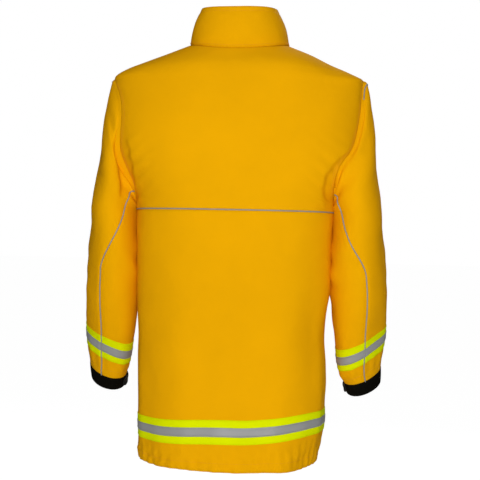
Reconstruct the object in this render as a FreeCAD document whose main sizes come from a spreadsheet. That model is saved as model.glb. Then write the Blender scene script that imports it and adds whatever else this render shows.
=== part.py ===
"""Turnout coat, worn shape, as a parametric FreeCAD document.

Millimetres. +Z is up, the coat faces -Y and the wearer's left side is +X.
The origin is the middle of the neckline, level with the back collar seam.
"""
import FreeCAD, Part

import math
import os

import Sketcher
from FreeCAD import Vector

# ---------------------------------------------------------------- driving dimensions
DIMENSIONS = {
    # body of the coat
    "back_length": 885, "hem_side_rise": 17, "chest_half_width": 212, "waist_half_width": 207,
    "hem_half_width": 196, "shoulder_half_width": 270, "neck_half_width": 107, "shoulder_drop": 60,
    "neck_side_rise": 15, "chest_depth_back": 132, "waist_depth_back": 120, "hem_depth_back": 128,
    "neck_depth_back": 78, "front_neck_depth": 95, "front_neck_drop": 75, "front_hem_depth": 158,
    "yoke_seam_drop": 340, "front_yoke_drop": 250, "armhole_bottom": 318, "armhole_half_depth": 74,
    "cloth": 2, "zipper_gap_half": 9,
    # collar
    "collar_height": 85, "collar_top_half_width": 82, "collar_top_depth_back": 66,
    # sleeves
    "sleeve_seam_gap": 3.5, "upper_sleeve_top": 338, "elbow_top": 415, "elbow_height": 470,
    "elbow_bottom": 525, "cuff_top": 695, "cuff_bottom": 721,
    # retro-reflective tape
    "trim_top": 762, "trim_width": 51, "trim_silver_width": 19, "trim_sheet": 0.7,
    "sleeve_trim_top": 608, "sleeve_trim_drop": 45, "piping_width": 4, "piping_height": 1.6,
    # pockets, with depths measured from the chord across the pocket's back
    "pocket_inner_edge": 64, "pocket_outer_edge": 168, "pocket_top": 530, "pocket_bottom": 725,
    "pocket_depth": 27, "pocket_flap_height": 62, "flap_side": 5, "flap_sheet": 3, "flap_lift": 1.5,
    "flap_strip_rise": 29, "radio_inner_edge": 74, "radio_outer_edge": 158, "radio_top": 290,
    "radio_bottom": 436, "radio_depth": 33, "radio_flap_height": 56, "pocket_wall": 2,
    # zipper, in the plane of the front opening
    "zipper_top": 76, "zipper_bottom": 796, "tape_half_width": 20, "tape_sheet": 0.8, "tape_back": 2.4,
    "chain_inner": 1.3, "chain_width": 2.4, "chain_height": 4, "slider_length": 20,
    "slider_half_width": 7.4, "slider_top": 74, "slider_plate": 2, "pull_length": 23,
    "pull_width": 10, "pull_sheet": 2.4, "pin_radius": 1.2, "pin_clearance": 0.05,
    # storm flap and collar tab
    "flap_top": 14, "storm_flap_bottom": 792, "storm_sheet": 3, "storm_rise": 8, "storm_sewn_edge": 38,
    "storm_free_edge": 52, "hook_width": 20, "hook_sheet": 1, "tab_bottom": 3, "tab_height": 26,
    "tab_half_length": 50,
}


def make_sheet(doc):
    """The spreadsheet that holds the driving dimensions, one alias to a row."""
    sheet = doc.addObject("Spreadsheet::Sheet", "Dimensions")
    for row, (alias, value) in enumerate(DIMENSIONS.items(), start=1):
        sheet.set(f"A{row}", alias)
        sheet.set(f"B{row}", str(value))
        sheet.setAlias(f"B{row}", alias)
    doc.recompute()
    return sheet


doc = FreeCAD.newDocument("turnout_coat")
sheet = make_sheet(doc)
size = sheet.get
nodes = []

# ---------------------------------------------------------------- the plane of the front opening
FRONT_RUN = size("front_hem_depth") - size("front_neck_depth")
FRONT_FALL = size("back_length") - size("front_neck_drop")
FRONT_SLOPE = FRONT_RUN / FRONT_FALL
FRONT_LEAN = math.degrees(math.atan(FRONT_SLOPE))
NECK_FRONT = Vector(0, -size("front_neck_depth"), -size("front_neck_drop"))
OPENING = FreeCAD.Placement(NECK_FRONT, FreeCAD.Rotation(Vector(1, 0, 0), -FRONT_LEAN))


def front_depth(height):
    """How far the straight front edge stands forward of the neck's middle at a height."""
    return size("front_neck_depth") + FRONT_SLOPE * (NECK_FRONT.z - height)


# ---------------------------------------------------------------- the body surface
HEM = size("hem_side_rise") - size("back_length")
ARMPIT = -size("armhole_bottom")
TIP = -size("shoulder_drop")
NECK = size("neck_side_rise")
WAIST = 0.64 * HEM
ARM_MIDDLE = 0.63 * ARMPIT
CORNER = TIP + 22
HEIGHTS = [HEM, WAIST, ARMPIT, ARM_MIDDLE, TIP, CORNER, NECK]
SHOULDER = size("shoulder_half_width")
PROFILES = {
    "half_width": [size("hem_half_width"), size("waist_half_width"), size("chest_half_width"),
                   SHOULDER - 8, SHOULDER, SHOULDER - 27, size("neck_half_width")],
    "back": [size("hem_depth_back"), size("waist_depth_back"), size("chest_depth_back"),
             size("chest_depth_back") - 2, size("chest_depth_back") - 20,
             size("chest_depth_back") - 25, size("neck_depth_back")],
    "back_dip": [size("hem_side_rise"), 0, 0, 0, 0, 2, NECK],
    "front_dip": [size("hem_side_rise"), 0, 0, 20, 80, 85, NECK + size("front_neck_drop")],
    "side": [-12, -6, 0, 0, 0, 0, -6],
    "roundness": [2.5, 2.5, 2.5, 2.5, 2.1, 2.1, 2.0],
}
FRONT_ROUNDNESS = 3


def glide(places, values, at):
    """Monotone cubic through the values, so that no profile bulges between its key heights."""
    last = len(places) - 1
    at = min(max(at, places[0]), places[last])
    steps = [places[i + 1] - places[i] for i in range(last)]
    slopes = [(values[i + 1] - values[i]) / steps[i] for i in range(last)]
    tangents = [slopes[0]]
    for before, after in zip(slopes, slopes[1:]):
        turning = before * after <= 0
        tangents.append(0 if turning else 2 * before * after / (before + after))
    tangents.append(slopes[-1])
    i = max(k for k in range(last) if places[k] <= at)
    u = (at - places[i]) / steps[i]
    rise = u * u * (3 - 2 * u)
    leave = u * (1 - u) ** 2 * steps[i] * tangents[i]
    arrive = u * u * (u - 1) * steps[i] * tangents[i + 1]
    return values[i] + (values[i + 1] - values[i]) * rise + leave + arrive


def profile(name, height):
    return glide(HEIGHTS, PROFILES[name], height)


def ring_point(angle, half_width, depth, roundness):
    """A point of a superellipse quarter: 0 degrees is the side, 90 the middle of the back or front."""
    c = abs(math.cos(angle))
    s = abs(math.sin(angle))
    reach = (c ** roundness + s ** roundness) ** (-1 / roundness)
    return half_width * c * reach, depth * s * reach


def body_point(angle, height):
    """The outer body surface: angle 0 is the left side, 90 the back, -90 the front opening."""
    sine = math.sin(angle)
    side = profile("side", height)
    if sine >= 0:
        dip = profile("back_dip", height)
        depth = profile("back", height) - side
        roundness = profile("roundness", height)
    else:
        dip = profile("front_dip", height)
        depth = front_depth(height - dip) + side
        roundness = FRONT_ROUNDNESS
    x, y = ring_point(angle, profile("half_width", height), depth, roundness)
    x = math.copysign(x, math.cos(angle))
    y = math.copysign(y, sine)
    return Vector(x, side + y, height - dip * sine * sine)


def find_angle(wanted, measure, low, high):
    """The angle between low and high at which a falling or rising measure meets the wanted value."""
    rising = measure(high) > measure(low)
    for _ in range(40):
        middle = (low + high) / 2
        if (measure(middle) < wanted) == rising:
            low = middle
        else:
            high = middle
    return (low + high) / 2


def front_angle(x, height):
    """The angle on the left front at which the surface is x from the opening's middle line."""
    return find_angle(x, lambda a: body_point(a, height).x, math.radians(-90), 0)


def armhole_angle(height, front):
    """The angle of the armhole's edge: 0 below the armpit and on the shoulder seam."""
    middle = (ARMPIT + TIP) / 2
    reach = (TIP - ARMPIT) / 2
    share = 1 - ((height - middle) / reach) ** 2
    if share <= 0:
        return 0.0
    wanted = size("armhole_half_depth") * math.sqrt(share)
    sign = -1 if front else 1
    return sign * find_angle(wanted, lambda a: abs(body_point(sign * a, height).y), 0, math.radians(80))


# ---------------------------------------------------------------- the collar surface
COLLAR_TOP_BACK = size("collar_height")
COLLAR_TOP_FRONT = size("collar_height") - size("front_neck_drop") - 5


def collar_point(angle, share):
    """The collar's outer surface, from the neckline, share 0, to its top edge, share 1."""
    foot = body_point(angle, NECK)
    sine = math.sin(angle)
    top_middle = COLLAR_TOP_BACK if sine >= 0 else COLLAR_TOP_FRONT
    height = COLLAR_TOP_BACK + (top_middle - COLLAR_TOP_BACK) * sine * sine
    depth = size("collar_top_depth_back") if sine >= 0 else front_depth(COLLAR_TOP_FRONT)
    roundness = 2 if sine >= 0 else FRONT_ROUNDNESS
    x, y = ring_point(angle, size("collar_top_half_width"), depth, roundness)
    top = Vector(math.copysign(x, math.cos(angle)), math.copysign(y, sine), height)
    lean = share * (0.55 + 0.45 * share)
    straight = abs(sine) if sine < 0 else 0
    lean = lean + (share - lean) * straight
    point = foot + (top - foot) * lean
    return Vector(point.x, point.y, foot.z + (top.z - foot.z) * share)


# ---------------------------------------------------------------- the left sleeve surface
SLEEVE_HEIGHTS = [-size("cuff_bottom"), -size("sleeve_trim_top") - 22, -size("elbow_bottom"),
                  -size("elbow_height"), -size("elbow_top"), -size("upper_sleeve_top")]
SLEEVE_PROFILES = {
    "x": [277, 272.5, 267.5, 267, 266, 264],
    "y": [-97, -62, -20, -8, -3, -2],
    "long": [50, 57, 62, 65, 70, 78],
    "short": [37, 44.5, 51, 51.5, 51, 49],
    "turn": [148, 141, 115, 105, 97, 90],
    "lean": [28, 20, 3, 0, 0, 0],
    "tilt": [6, 21, 2, 0, 0, 0],
    "seam": [78, 76, 72, 75, 90, 115],
}
FRONT_SEAM = 250    # degrees round the sleeve to the seam along the inside of the arm
CAP_SEAM_TURN = 42  # how far the back seam turns on the way up to the armhole


def sleeve_value(name, height):
    return glide(SLEEVE_HEIGHTS, SLEEVE_PROFILES[name], height)


def sleeve_point(angle, height):
    """The left sleeve's outer surface below the armpit: angle 0 is its outer side, 90 its back."""
    turn = angle - math.radians(sleeve_value("turn", height))
    long_part = math.cos(turn) / sleeve_value("long", height)
    short_part = math.sin(turn) / sleeve_value("short", height)
    reach = 1 / math.hypot(long_part, short_part)
    x = reach * math.cos(angle)
    y = reach * math.sin(angle)
    rise = x * math.tan(math.radians(sleeve_value("tilt", height)))
    fall = y * math.tan(math.radians(sleeve_value("lean", height)))
    return Vector(sleeve_value("x", height) + x, sleeve_value("y", height) + y, height + rise - fall)


def armhole_point(angle):
    """The armhole's edge: angle 0 is the shoulder tip, 90 the back edge, 180 the armpit."""
    height = (ARMPIT + TIP) / 2 + (TIP - ARMPIT) / 2 * math.cos(angle)
    return body_point(armhole_angle(height, math.sin(angle) < 0), height)


def cap_point(angle, share):
    """The sleeve's head, from the top of the upper sleeve, share 0, to the armhole, share 1."""
    low = sleeve_point(angle, -size("upper_sleeve_top"))
    high = armhole_point(angle) + Vector(size("sleeve_seam_gap"), 0, 0)
    knee = Vector(high.x + 0.42 * (low.x - high.x), (high.y + low.y) / 2,
                  high.z + 0.15 * (low.z - high.z))
    return low * (1 - share) ** 2 + knee * (2 * share * (1 - share)) + high * share ** 2


# ---------------------------------------------------------------- cloth solids
def offset_point(surface, across, along, distance):
    """A surface's point, moved outwards along its normal."""
    tiny = 1e-3
    here = surface(across, along)
    left = surface(across + tiny, along) - surface(across - tiny, along)
    up = surface(across, along + tiny) - surface(across, along - tiny)
    normal = left.cross(up)
    if normal.Length < 1e-12:
        return here
    return here + normal.normalize() * distance


def curve_edge(points):
    curve = Part.BSplineCurve()
    curve.interpolate(points)
    return curve.toShape()


def ruled(first, second):
    """A ruled face between two edges that run the same way."""
    same_way = 1
    return Part.makeRuledSurface(first, second, same_way)


def sheet_solid(surface, rows, outer, inner):
    """A closed sheet of cloth between two offsets of a surface.

    rows is a list of (angles, height) pairs: each gives the points of one line across the sheet.
    """
    skins = []
    for distance in (outer, inner):
        skins.append([curve_edge([offset_point(surface, a, along, distance) for a in angles])
                      for angles, along in rows])
    faces = [ruled(low, high) for skin in skins for low, high in zip(skin, skin[1:])]
    for row in (0, -1):
        faces.append(ruled(skins[0][row], skins[1][row]))
    for end in (0, -1):
        for row in range(len(rows) - 1):
            corners = [skins[0][row], skins[0][row + 1], skins[1][row + 1], skins[1][row]]
            corners = [edge.Vertexes[end].Point for edge in corners]
            low = Part.makeLine(corners[0], corners[3])
            high = Part.makeLine(corners[1], corners[2])
            faces.append(ruled(low, high))
    shell = Part.makeShell(faces)
    shell.sewShape()
    solid = Part.makeSolid(Part.Shell(shell.Faces))
    if solid.Volume < 0:
        solid.reverse()
    return solid


def spread(first, last, count):
    return [first + (last - first) * i / (count - 1) for i in range(count)]


def mirror_x(shape):
    return shape.mirror(Vector(0, 0, 0), Vector(1, 0, 0))


def add_feature(label, shape, placement=None):
    """A Part::Feature for cloth that follows the curved body."""
    feature = doc.addObject("Part::Feature", label)
    feature.Label = label
    feature.Shape = shape
    if placement:
        feature.Placement = placement
    nodes.append(feature)
    return feature


def add_pair(name, shape):
    """The left piece and its mirror image on the right."""
    add_feature("left_" + name, shape)
    add_feature("right_" + name, mirror_x(shape))


# ---------------------------------------------------------------- body panels
SEAM = 0.0012      # radians left between two panels that are sewn edge to edge
SEAM_HEIGHT = 0.2  # the same gap where the seam runs across


def back_rows(heights, count=13):
    rows = []
    for height in heights:
        edge = armhole_angle(height, False) + SEAM
        rows.append((spread(edge, math.pi - edge, count), height))
    return rows


def front_rows(heights, inner, outer=None, count=9):
    """Rows of the left front from x = inner to the side seam or armhole, or to x = outer."""
    rows = []
    for height in heights:
        start = front_angle(inner, height)
        end = front_angle(outer, height) if outer else armhole_angle(height, True) - SEAM
        rows.append((spread(start, end, count), height))
    return rows


YOKE_SEAM = -size("yoke_seam_drop")
FRONT_YOKE_SEAM = -size("front_yoke_drop")
CLOTH = size("cloth")
GAP = size("zipper_gap_half")
UPPER_HEIGHTS = [ARMPIT + 8, ARMPIT + 22, ARMPIT + 45, ARM_MIDDLE, ARM_MIDDLE + 50, TIP - 35,
                 TIP - 12, TIP, TIP + 10, CORNER, (CORNER + NECK) / 2, NECK]


def make_panels():
    low_back = back_rows(spread(HEM, YOKE_SEAM - SEAM_HEIGHT, 8))
    add_feature("lower_back", sheet_solid(body_point, low_back, 0, -CLOTH))
    yoke = back_rows([YOKE_SEAM + SEAM_HEIGHT, ARMPIT] + UPPER_HEIGHTS)
    add_feature("back_yoke", sheet_solid(body_point, yoke, 0, -CLOTH))
    lining = back_rows([ARM_MIDDLE + 20, TIP - 35, TIP - 12, TIP, TIP + 10, CORNER, NECK - 8])
    trimmed = [(spread(row[0] + 0.06, row[-1] - 0.06, 13), height) for row, height in lining]
    add_feature("yoke_lining", sheet_solid(body_point, trimmed, -CLOTH - 1.4, -CLOTH - 2.4))
    low_front = front_rows(spread(HEM, ARMPIT, 8), GAP)
    add_pair("front", sheet_solid(body_point, low_front, 0, -CLOTH))
    high_front = front_rows([ARMPIT + SEAM_HEIGHT] + UPPER_HEIGHTS, GAP)
    add_pair("chest_panel", sheet_solid(body_point, high_front, 0, -CLOTH))
    facing = front_rows(spread(HEM + 4, ARMPIT, 6) + [ARM_MIDDLE, TIP - 20, CORNER, NECK - 6], 24, 66, 5)
    add_pair("front_facing", sheet_solid(body_point, facing, -CLOTH - 1.4, -CLOTH - 2.4))


def collar_rows(shares, inner_x, count=21):
    start = find_angle(inner_x, lambda a: body_point(a, NECK).x, math.radians(-90), 0)
    return [(spread(start, math.pi - start, count), share) for share in shares]


def make_collar():
    shares = [0.01, 0.25, 0.5, 0.75, 1]
    shell = collar_rows(shares, GAP + 1)
    add_feature("collar_shell", sheet_solid(collar_point, shell, 0, -1.6))
    lining = collar_rows([0.02, 0.25, 0.5, 0.75, 0.98], GAP + 19)
    add_feature("collar_lining", sheet_solid(collar_point, lining, -2.2, -3.4))


def make_hang_loop():
    """A webbing loop at the back of the neck: two feet and an arch, as one bent strip."""
    wall = collar_point(math.pi / 2, 0.25).y
    arch = Part.makeBox(62, 1.5, 9, Vector(-31, wall - 17, 12))
    foot = Part.makeBox(9, 9, 9, Vector(-31, wall - 16.5, 12))
    other = Part.makeBox(9, 9, 9, Vector(22, wall - 16.5, 12))
    loop = arch.fuse([foot, other]).removeSplitter()
    add_feature("hang_loop", loop)


# ---------------------------------------------------------------- tape and piping
def body_bands(top, width, outer, inner, name):
    """A band round the hem: one solid on the back and one on each front."""
    heights = spread(band_height(top + width), band_height(top), 3)
    back = sheet_solid(body_point, back_rows(heights), outer, inner)
    front = sheet_solid(body_point, front_rows(heights, 58), outer, inner)
    add_feature(name, Part.makeCompound([back, front, mirror_x(front)]))


def band_height(drop):
    """The side height of a band whose middle back lies at a drop below the neck."""
    share = (drop - size("trim_top")) / (size("back_length") - size("trim_top"))
    return -drop + share * size("hem_side_rise") * 0.6


def make_trim():
    sheet_t = size("trim_sheet")
    margin = (size("trim_width") - size("trim_silver_width")) / 2
    body_bands(size("trim_top"), size("trim_width"), 0.2 + sheet_t, 0.2, "hem_trim")
    body_bands(size("trim_top") + margin, size("trim_silver_width"), 0.5 + 2 * sheet_t,
               0.5 + sheet_t, "hem_trim_reflective")


def make_piping():
    half = size("piping_width") / 2
    rise = size("piping_height")
    back = back_rows([YOKE_SEAM - half, YOKE_SEAM + half])
    inset = [(spread(row[0] + 0.05, row[-1] - 0.05, 13), height) for row, height in back]
    add_feature("back_yoke_piping", sheet_solid(body_point, inset, 0.4 + rise, 0.4))
    heights = [FRONT_YOKE_SEAM - half, FRONT_YOKE_SEAM + half]
    front = [(spread(row[0], row[-1] - 0.05, 9), height)
             for row, height in front_rows(heights, 60)]
    strip = sheet_solid(body_point, front, 0.2 + rise, 0.2)
    add_feature("front_yoke_piping", Part.makeCompound([strip, mirror_x(strip)]))


# ---------------------------------------------------------------- sleeves
SLEEVE_SEAM = 0.004
CAP_FOOT = -size("upper_sleeve_top")


def sleeve_seam(height):
    return math.radians(sleeve_value("seam", height))


def cap_seam(share):
    return sleeve_seam(CAP_FOOT) + math.radians(CAP_SEAM_TURN) * share


def sleeve_tube(surface, seam, places, outer, inner):
    """The top sleeve and the under sleeve over one stretch of the arm."""
    front = math.radians(FRONT_SEAM)
    top = [(spread(front - 2 * math.pi + SLEEVE_SEAM, seam(at) - SLEEVE_SEAM, 9), at) for at in places]
    under = [(spread(seam(at) + SLEEVE_SEAM, front - SLEEVE_SEAM, 9), at) for at in places]
    return [sheet_solid(surface, rows, outer, inner) for rows in (top, under)]


def seam_piping(surface, seam, places):
    half = math.radians(2.3)
    rows = [(spread(seam(at) - half, seam(at) + half, 3), at) for at in places]
    return sheet_solid(surface, rows, 0.5 + size("piping_height"), 0.5)


def stretch(low, high, count=2):
    """Places along the sleeve from low to high, kept clear of the neighbouring stretches."""
    return spread(low + 0.2, high - 0.2, count)


def make_sleeves():
    top = CAP_FOOT
    elbow_top = -size("elbow_top")
    elbow_low = -size("elbow_bottom")
    cuff_top = -size("cuff_top")
    cuff_low = -size("cuff_bottom")
    trim_top = -size("sleeve_trim_top")
    cap_rows = spread(0.004, 1, 8)
    cap = sleeve_tube(cap_point, cap_seam, cap_rows, 0, -CLOTH)
    add_pair("sleeve_cap", Part.makeCompound(cap + [seam_piping(cap_point, cap_seam, cap_rows[:-1])]))
    upper = stretch(elbow_top, top)
    add_pair("upper_sleeve", Part.makeCompound(sleeve_tube(sleeve_point, sleeve_seam, upper, 0, -CLOTH)))
    add_pair("upper_sleeve_piping", seam_piping(sleeve_point, sleeve_seam, upper))
    bend = stretch(elbow_low, elbow_top, 6)
    elbow = sleeve_tube(sleeve_point, sleeve_seam, bend, 0, -CLOTH)
    add_pair("elbow", Part.makeCompound(elbow + [seam_piping(sleeve_point, sleeve_seam, bend)]))
    forearm = stretch(cuff_top, elbow_low, 7)
    add_pair("forearm_sleeve",
             Part.makeCompound(sleeve_tube(sleeve_point, sleeve_seam, forearm, 0, -CLOTH)))
    piped = stretch(trim_top + 1, elbow_low, 4)
    add_pair("forearm_piping", seam_piping(sleeve_point, sleeve_seam, piped))
    cuff = stretch(cuff_low, cuff_top)
    add_pair("cuff", Part.makeCompound(sleeve_tube(sleeve_point, sleeve_seam, cuff, 0.8, -CLOTH - 0.8)))
    sheet_t = size("trim_sheet")
    drop = size("sleeve_trim_drop")
    margin = drop * (1 - size("trim_silver_width") / size("trim_width")) / 2
    band = spread(trim_top, trim_top - drop, 3)
    silver = [trim_top - margin, trim_top - drop + margin]
    trim = sleeve_tube(sleeve_point, sleeve_seam, band, 0.5 + sheet_t, 0.5)
    add_pair("sleeve_trim", Part.makeCompound(trim))
    stripe = sleeve_tube(sleeve_point, sleeve_seam, silver, 0.8 + 2 * sheet_t, 0.8 + sheet_t)
    add_pair("sleeve_trim_reflective", Part.makeCompound(stripe))


def make_wrist_tabs():
    """The take-up strap lies over the cuff's inner back, with its hook patch under the free end."""
    middle = -(size("cuff_top") + size("cuff_bottom")) / 2
    heights = [middle - 8, middle + 8]
    strap = [(spread(math.radians(150), math.radians(215), 7), height) for height in heights]
    add_pair("wrist_tab", sheet_solid(sleeve_point, strap, 5.6, 3.4))
    hook = [(spread(math.radians(153), math.radians(174), 5), height) for height in heights]
    add_pair("wrist_tab_hook", sheet_solid(sleeve_point, hook, 3.3, 2.4))
    loop = [(spread(math.radians(151), math.radians(190), 5), height) for height in heights]
    add_pair("cuff_loop", sheet_solid(sleeve_point, loop, 2.0, 1.0))


# ---------------------------------------------------------------- sketched hardware
def plane_of(body, role):
    return next(f for f in body.Origin.OriginFeatures if f.Role == role)


def new_body(label, placement=OPENING):
    body = doc.addObject("PartDesign::Body", label)
    body.Label = label
    body.Placement = placement
    nodes.append(body)
    return body


def new_sketch(body, name, role, offset=0.0):
    sketch = body.newObject("Sketcher::SketchObject", name)
    sketch.AttachmentSupport = [(plane_of(body, role), "")]
    sketch.MapMode = "FlatFace"
    sketch.AttachmentOffset = FreeCAD.Placement(Vector(0, 0, offset), FreeCAD.Rotation())
    return sketch


def draw_outline(sketch, points):
    corners = [Vector(x, y, 0) for x, y in points]
    for start, end in zip(corners, corners[1:] + corners[:1]):
        sketch.addGeometry(Part.LineSegment(start, end), False)
    count = len(corners)
    for i in range(count):
        sketch.addConstraint(Sketcher.Constraint("Coincident", i, 2, (i + 1) % count, 1))


def pad(body, sketch, length):
    """A pad whose length is an expression on the spreadsheet."""
    feature = body.newObject("PartDesign::Pad", sketch.Name + "_pad")
    feature.Profile = sketch
    feature.setExpression("Length", length)
    sketch.Visibility = False
    return feature


def rectangle(left, right, front, back):
    return [(left, front), (right, front), (right, back), (left, back)]


def strip_along_zipper(label, outline, bottom, length):
    """A straight extrusion along the front opening, from a height below the neck seam."""
    body = new_body(label)
    sketch = new_sketch(body, label + "_outline", "XY_Plane")
    draw_outline(sketch, outline)
    sketch.setExpression("AttachmentOffset.Base.z", bottom)
    pad(body, sketch, length)
    return body


def add_box(label, left, front, bottom, width, thick, length):
    """A Part::Box in the opening's frame with sizes bound to the spreadsheet."""
    box = doc.addObject("Part::Box", label)
    box.Label = label
    box.setExpression("Length", width)
    box.setExpression("Width", thick)
    box.setExpression("Height", length)
    box.Placement = OPENING.multiply(FreeCAD.Placement(Vector(left, front, bottom), FreeCAD.Rotation()))
    nodes.append(box)
    return box


def make_zipper():
    tape_back = size("tape_back")
    chain_in = size("chain_inner")
    chain_out = chain_in + size("chain_width")
    tape_out = size("tape_half_width")
    chain_front = tape_back + size("tape_sheet") / 2 - size("chain_height") / 2
    whole = "Dimensions.zipper_bottom + Dimensions.zipper_top"
    for name, side in (("left", 1), ("right", -1)):
        tape_left = chain_out + 0.1 if side > 0 else -tape_out
        add_box(name + "_zipper_tape", tape_left, tape_back, -size("zipper_bottom"),
                "Dimensions.tape_half_width - Dimensions.chain_inner - Dimensions.chain_width - 0.1",
                "Dimensions.tape_sheet", whole)
        chain_left = chain_in if side > 0 else -chain_out
        add_box(name + "_zipper_chain", chain_left, chain_front, -size("zipper_bottom"),
                "Dimensions.chain_width", "Dimensions.chain_height", whole)
    stop = strip_along_zipper("zipper_bottom_stop", rectangle(-6, 6, chain_front - 1, chain_front + 5),
                              "-Dimensions.zipper_bottom - 14", "13.8")
    stop.Tip.Refine = True


def make_slider():
    """The slider: a front and a back plate joined by a post between the chains, and two pin lugs."""
    half = size("slider_half_width")
    chain_front = size("tape_back") + size("tape_sheet") / 2 - size("chain_height") / 2
    inside_front = chain_front - 0.4
    inside_back = chain_front + size("chain_height") + 0.4
    front = inside_front - size("slider_plate")
    back = inside_back + size("slider_plate")
    post = size("chain_inner") - 0.4
    outline = [(-half, front), (half, front), (half, inside_front), (post, inside_front),
               (post, inside_back), (half, inside_back), (half, back), (-half, back),
               (-half, inside_back), (-post, inside_back), (-post, inside_front), (-half, inside_front)]
    body = new_body("zipper_slider")
    plates = new_sketch(body, "slider_outline", "XY_Plane")
    draw_outline(plates, outline)
    plates.setExpression("AttachmentOffset.Base.z", "Dimensions.slider_top - Dimensions.slider_length")
    pad(body, plates, "Dimensions.slider_length")
    doc.recompute()
    eye = size("pull_width") / 2 - 1.5
    pin_at = front - 2.2
    low = size("slider_top") - size("slider_length")
    for number, x in enumerate((-eye - 1.4, eye + 0.2)):
        lug = new_sketch(body, f"lug_{number}", "XY_Plane")
        draw_outline(lug, rectangle(x, x + 1.2, pin_at - 1.6, front + 0.5))
        lug.setExpression("AttachmentOffset.Base.z", "Dimensions.slider_top - Dimensions.slider_length + 2")
        pad(body, lug, "5")
        doc.recompute()
    pin = new_sketch(body, "pin", "YZ_Plane")
    circle = Part.Circle(Vector(pin_at, low + 4.5, 0), Vector(0, 0, 1), size("pin_radius"))
    pin.addGeometry(circle, False)
    shaft = pad(body, pin, "Dimensions.pull_width")
    shaft.Midplane = True
    shaft.setExpression("Length", "Dimensions.pull_width - 2")
    return pin_at, low + 4.5


def make_pull(pin_at, pin_height):
    """The pull tab hangs on the slider's pin by a round eye."""
    half = size("pull_width") / 2
    thick = size("pull_sheet")
    body = new_body("zipper_pull")
    outline = new_sketch(body, "pull_outline", "XZ_Plane")
    eye = half - 1.5
    low = pin_height - size("pull_length")
    points = [(-eye, pin_height), (eye, pin_height), (eye, pin_height - 5), (half, pin_height - 8),
              (half, low + 2), (half - 2, low), (2 - half, low), (-half, low + 2),
              (-half, pin_height - 8), (-eye, pin_height - 5)]
    draw_outline(outline, points)
    blade = pad(body, outline, "Dimensions.pull_sheet")
    outline.AttachmentOffset = FreeCAD.Placement(Vector(0, 0, -pin_at - thick / 2), FreeCAD.Rotation())
    doc.recompute()
    barrel = new_sketch(body, "eye_outline", "YZ_Plane")
    barrel.addGeometry(Part.Circle(Vector(pin_at, pin_height, 0), Vector(0, 0, 1), 2.1), False)
    knuckle = pad(body, barrel, "Dimensions.pull_width - 3")
    knuckle.Midplane = True
    doc.recompute()
    bore = new_sketch(body, "eye_bore", "YZ_Plane")
    radius = size("pin_radius") + size("pin_clearance")
    bore.addGeometry(Part.Circle(Vector(pin_at, pin_height, 0), Vector(0, 0, 1), radius), False)
    hole = body.newObject("PartDesign::Pocket", "eye_hole")
    hole.Profile = bore
    hole.Midplane = True
    hole.setExpression("Length", "Dimensions.pull_width + 4")
    return blade


def make_storm_flap():
    """A stiffened fly, sewn on the left front and arched over the zipper."""
    thick = size("storm_sheet")
    sewn = size("storm_sewn_edge")
    free = -size("storm_free_edge")
    rise = size("storm_rise")
    ridge = size("slider_half_width") + 5
    under = [(sewn, -0.8), (ridge, -rise), (-ridge, -rise), (free + 24, -3.4), (free, -3.4)]
    over = [(free, -3.4 - thick), (free + 24, -3.4 - thick), (-ridge, -rise - thick),
            (ridge, -rise - thick), (sewn, -0.8 - thick)]
    strip_along_zipper("storm_flap", under + over, "-Dimensions.storm_flap_bottom",
                       "Dimensions.storm_flap_bottom - Dimensions.flap_top")
    hook = rectangle(free + 1, free + 1 + size("hook_width"), -3.3, -3.3 + size("hook_sheet"))
    strip_along_zipper("storm_flap_hook", hook, "-Dimensions.storm_flap_bottom + 6",
                       "Dimensions.storm_flap_bottom - Dimensions.flap_top - 12")
    loop = rectangle(free + 1, free + 1 + size("hook_width"), -1.4, -1.4 + size("hook_sheet"))
    strip_along_zipper("storm_flap_loop", loop, "-Dimensions.storm_flap_bottom + 6",
                       "Dimensions.storm_flap_bottom - Dimensions.flap_top - 12")


def make_collar_tab():
    """The throat tab crosses the collar's front, arched over the zipper."""
    thick = size("flap_sheet")
    end = size("tab_half_length")
    rise = size("storm_rise")
    ridge = size("slider_half_width") + 5
    under = [(end, -1.6), (32, -3.8), (ridge, -rise), (-ridge, -rise), (-32, -3.8), (-end, -1.6)]
    over = [(x, y - thick) for x, y in reversed(under)]
    strip_along_zipper("collar_tab", under + over, "Dimensions.tab_bottom", "Dimensions.tab_height")
    loop = [(-end + 2, -0.4), (-33, -2.7), (-33, -1.8), (-end + 2, 0.5)]
    strip_along_zipper("collar_tab_loop", loop, "Dimensions.tab_bottom + 2", "Dimensions.tab_height - 4")


# ---------------------------------------------------------------- pockets
def pocket_frame(inner_x, outer_x, top, bottom):
    """A flat frame on the left front: x outwards along the pocket's mouth, y inwards, z up."""
    corners = [[body_point(front_angle(x, -drop), -drop) for x in (inner_x, outer_x)]
               for drop in (top, bottom)]
    across = corners[0][1] - corners[0][0] + corners[1][1] - corners[1][0]
    up = corners[0][0] - corners[1][0] + corners[0][1] - corners[1][1]
    inwards = up.cross(across)
    rotation = FreeCAD.Rotation(across, inwards, up, "XYZ")
    return FreeCAD.Placement(corners[0][0], rotation), (corners[0][1] - corners[0][0]).Length


def mirrored_frame(frame, width):
    """The same frame on the right front, with x still running from the wearer's right to left."""
    far = frame.multVec(Vector(width, 0, 0))
    axes = [frame.Rotation.multVec(axis) for axis in (Vector(1, 0, 0), Vector(0, 1, 0), Vector(0, 0, 1))]
    across, inwards, up = [Vector(-axis.x, axis.y, axis.z) for axis in axes]
    rotation = FreeCAD.Rotation(-across, inwards, up, "XYZ")
    return FreeCAD.Placement(Vector(-far.x, far.y, far.z), rotation)


def box_between(low, high):
    return Part.makeBox(high.x - low.x, high.y - low.y, high.z - low.z, low)


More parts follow.
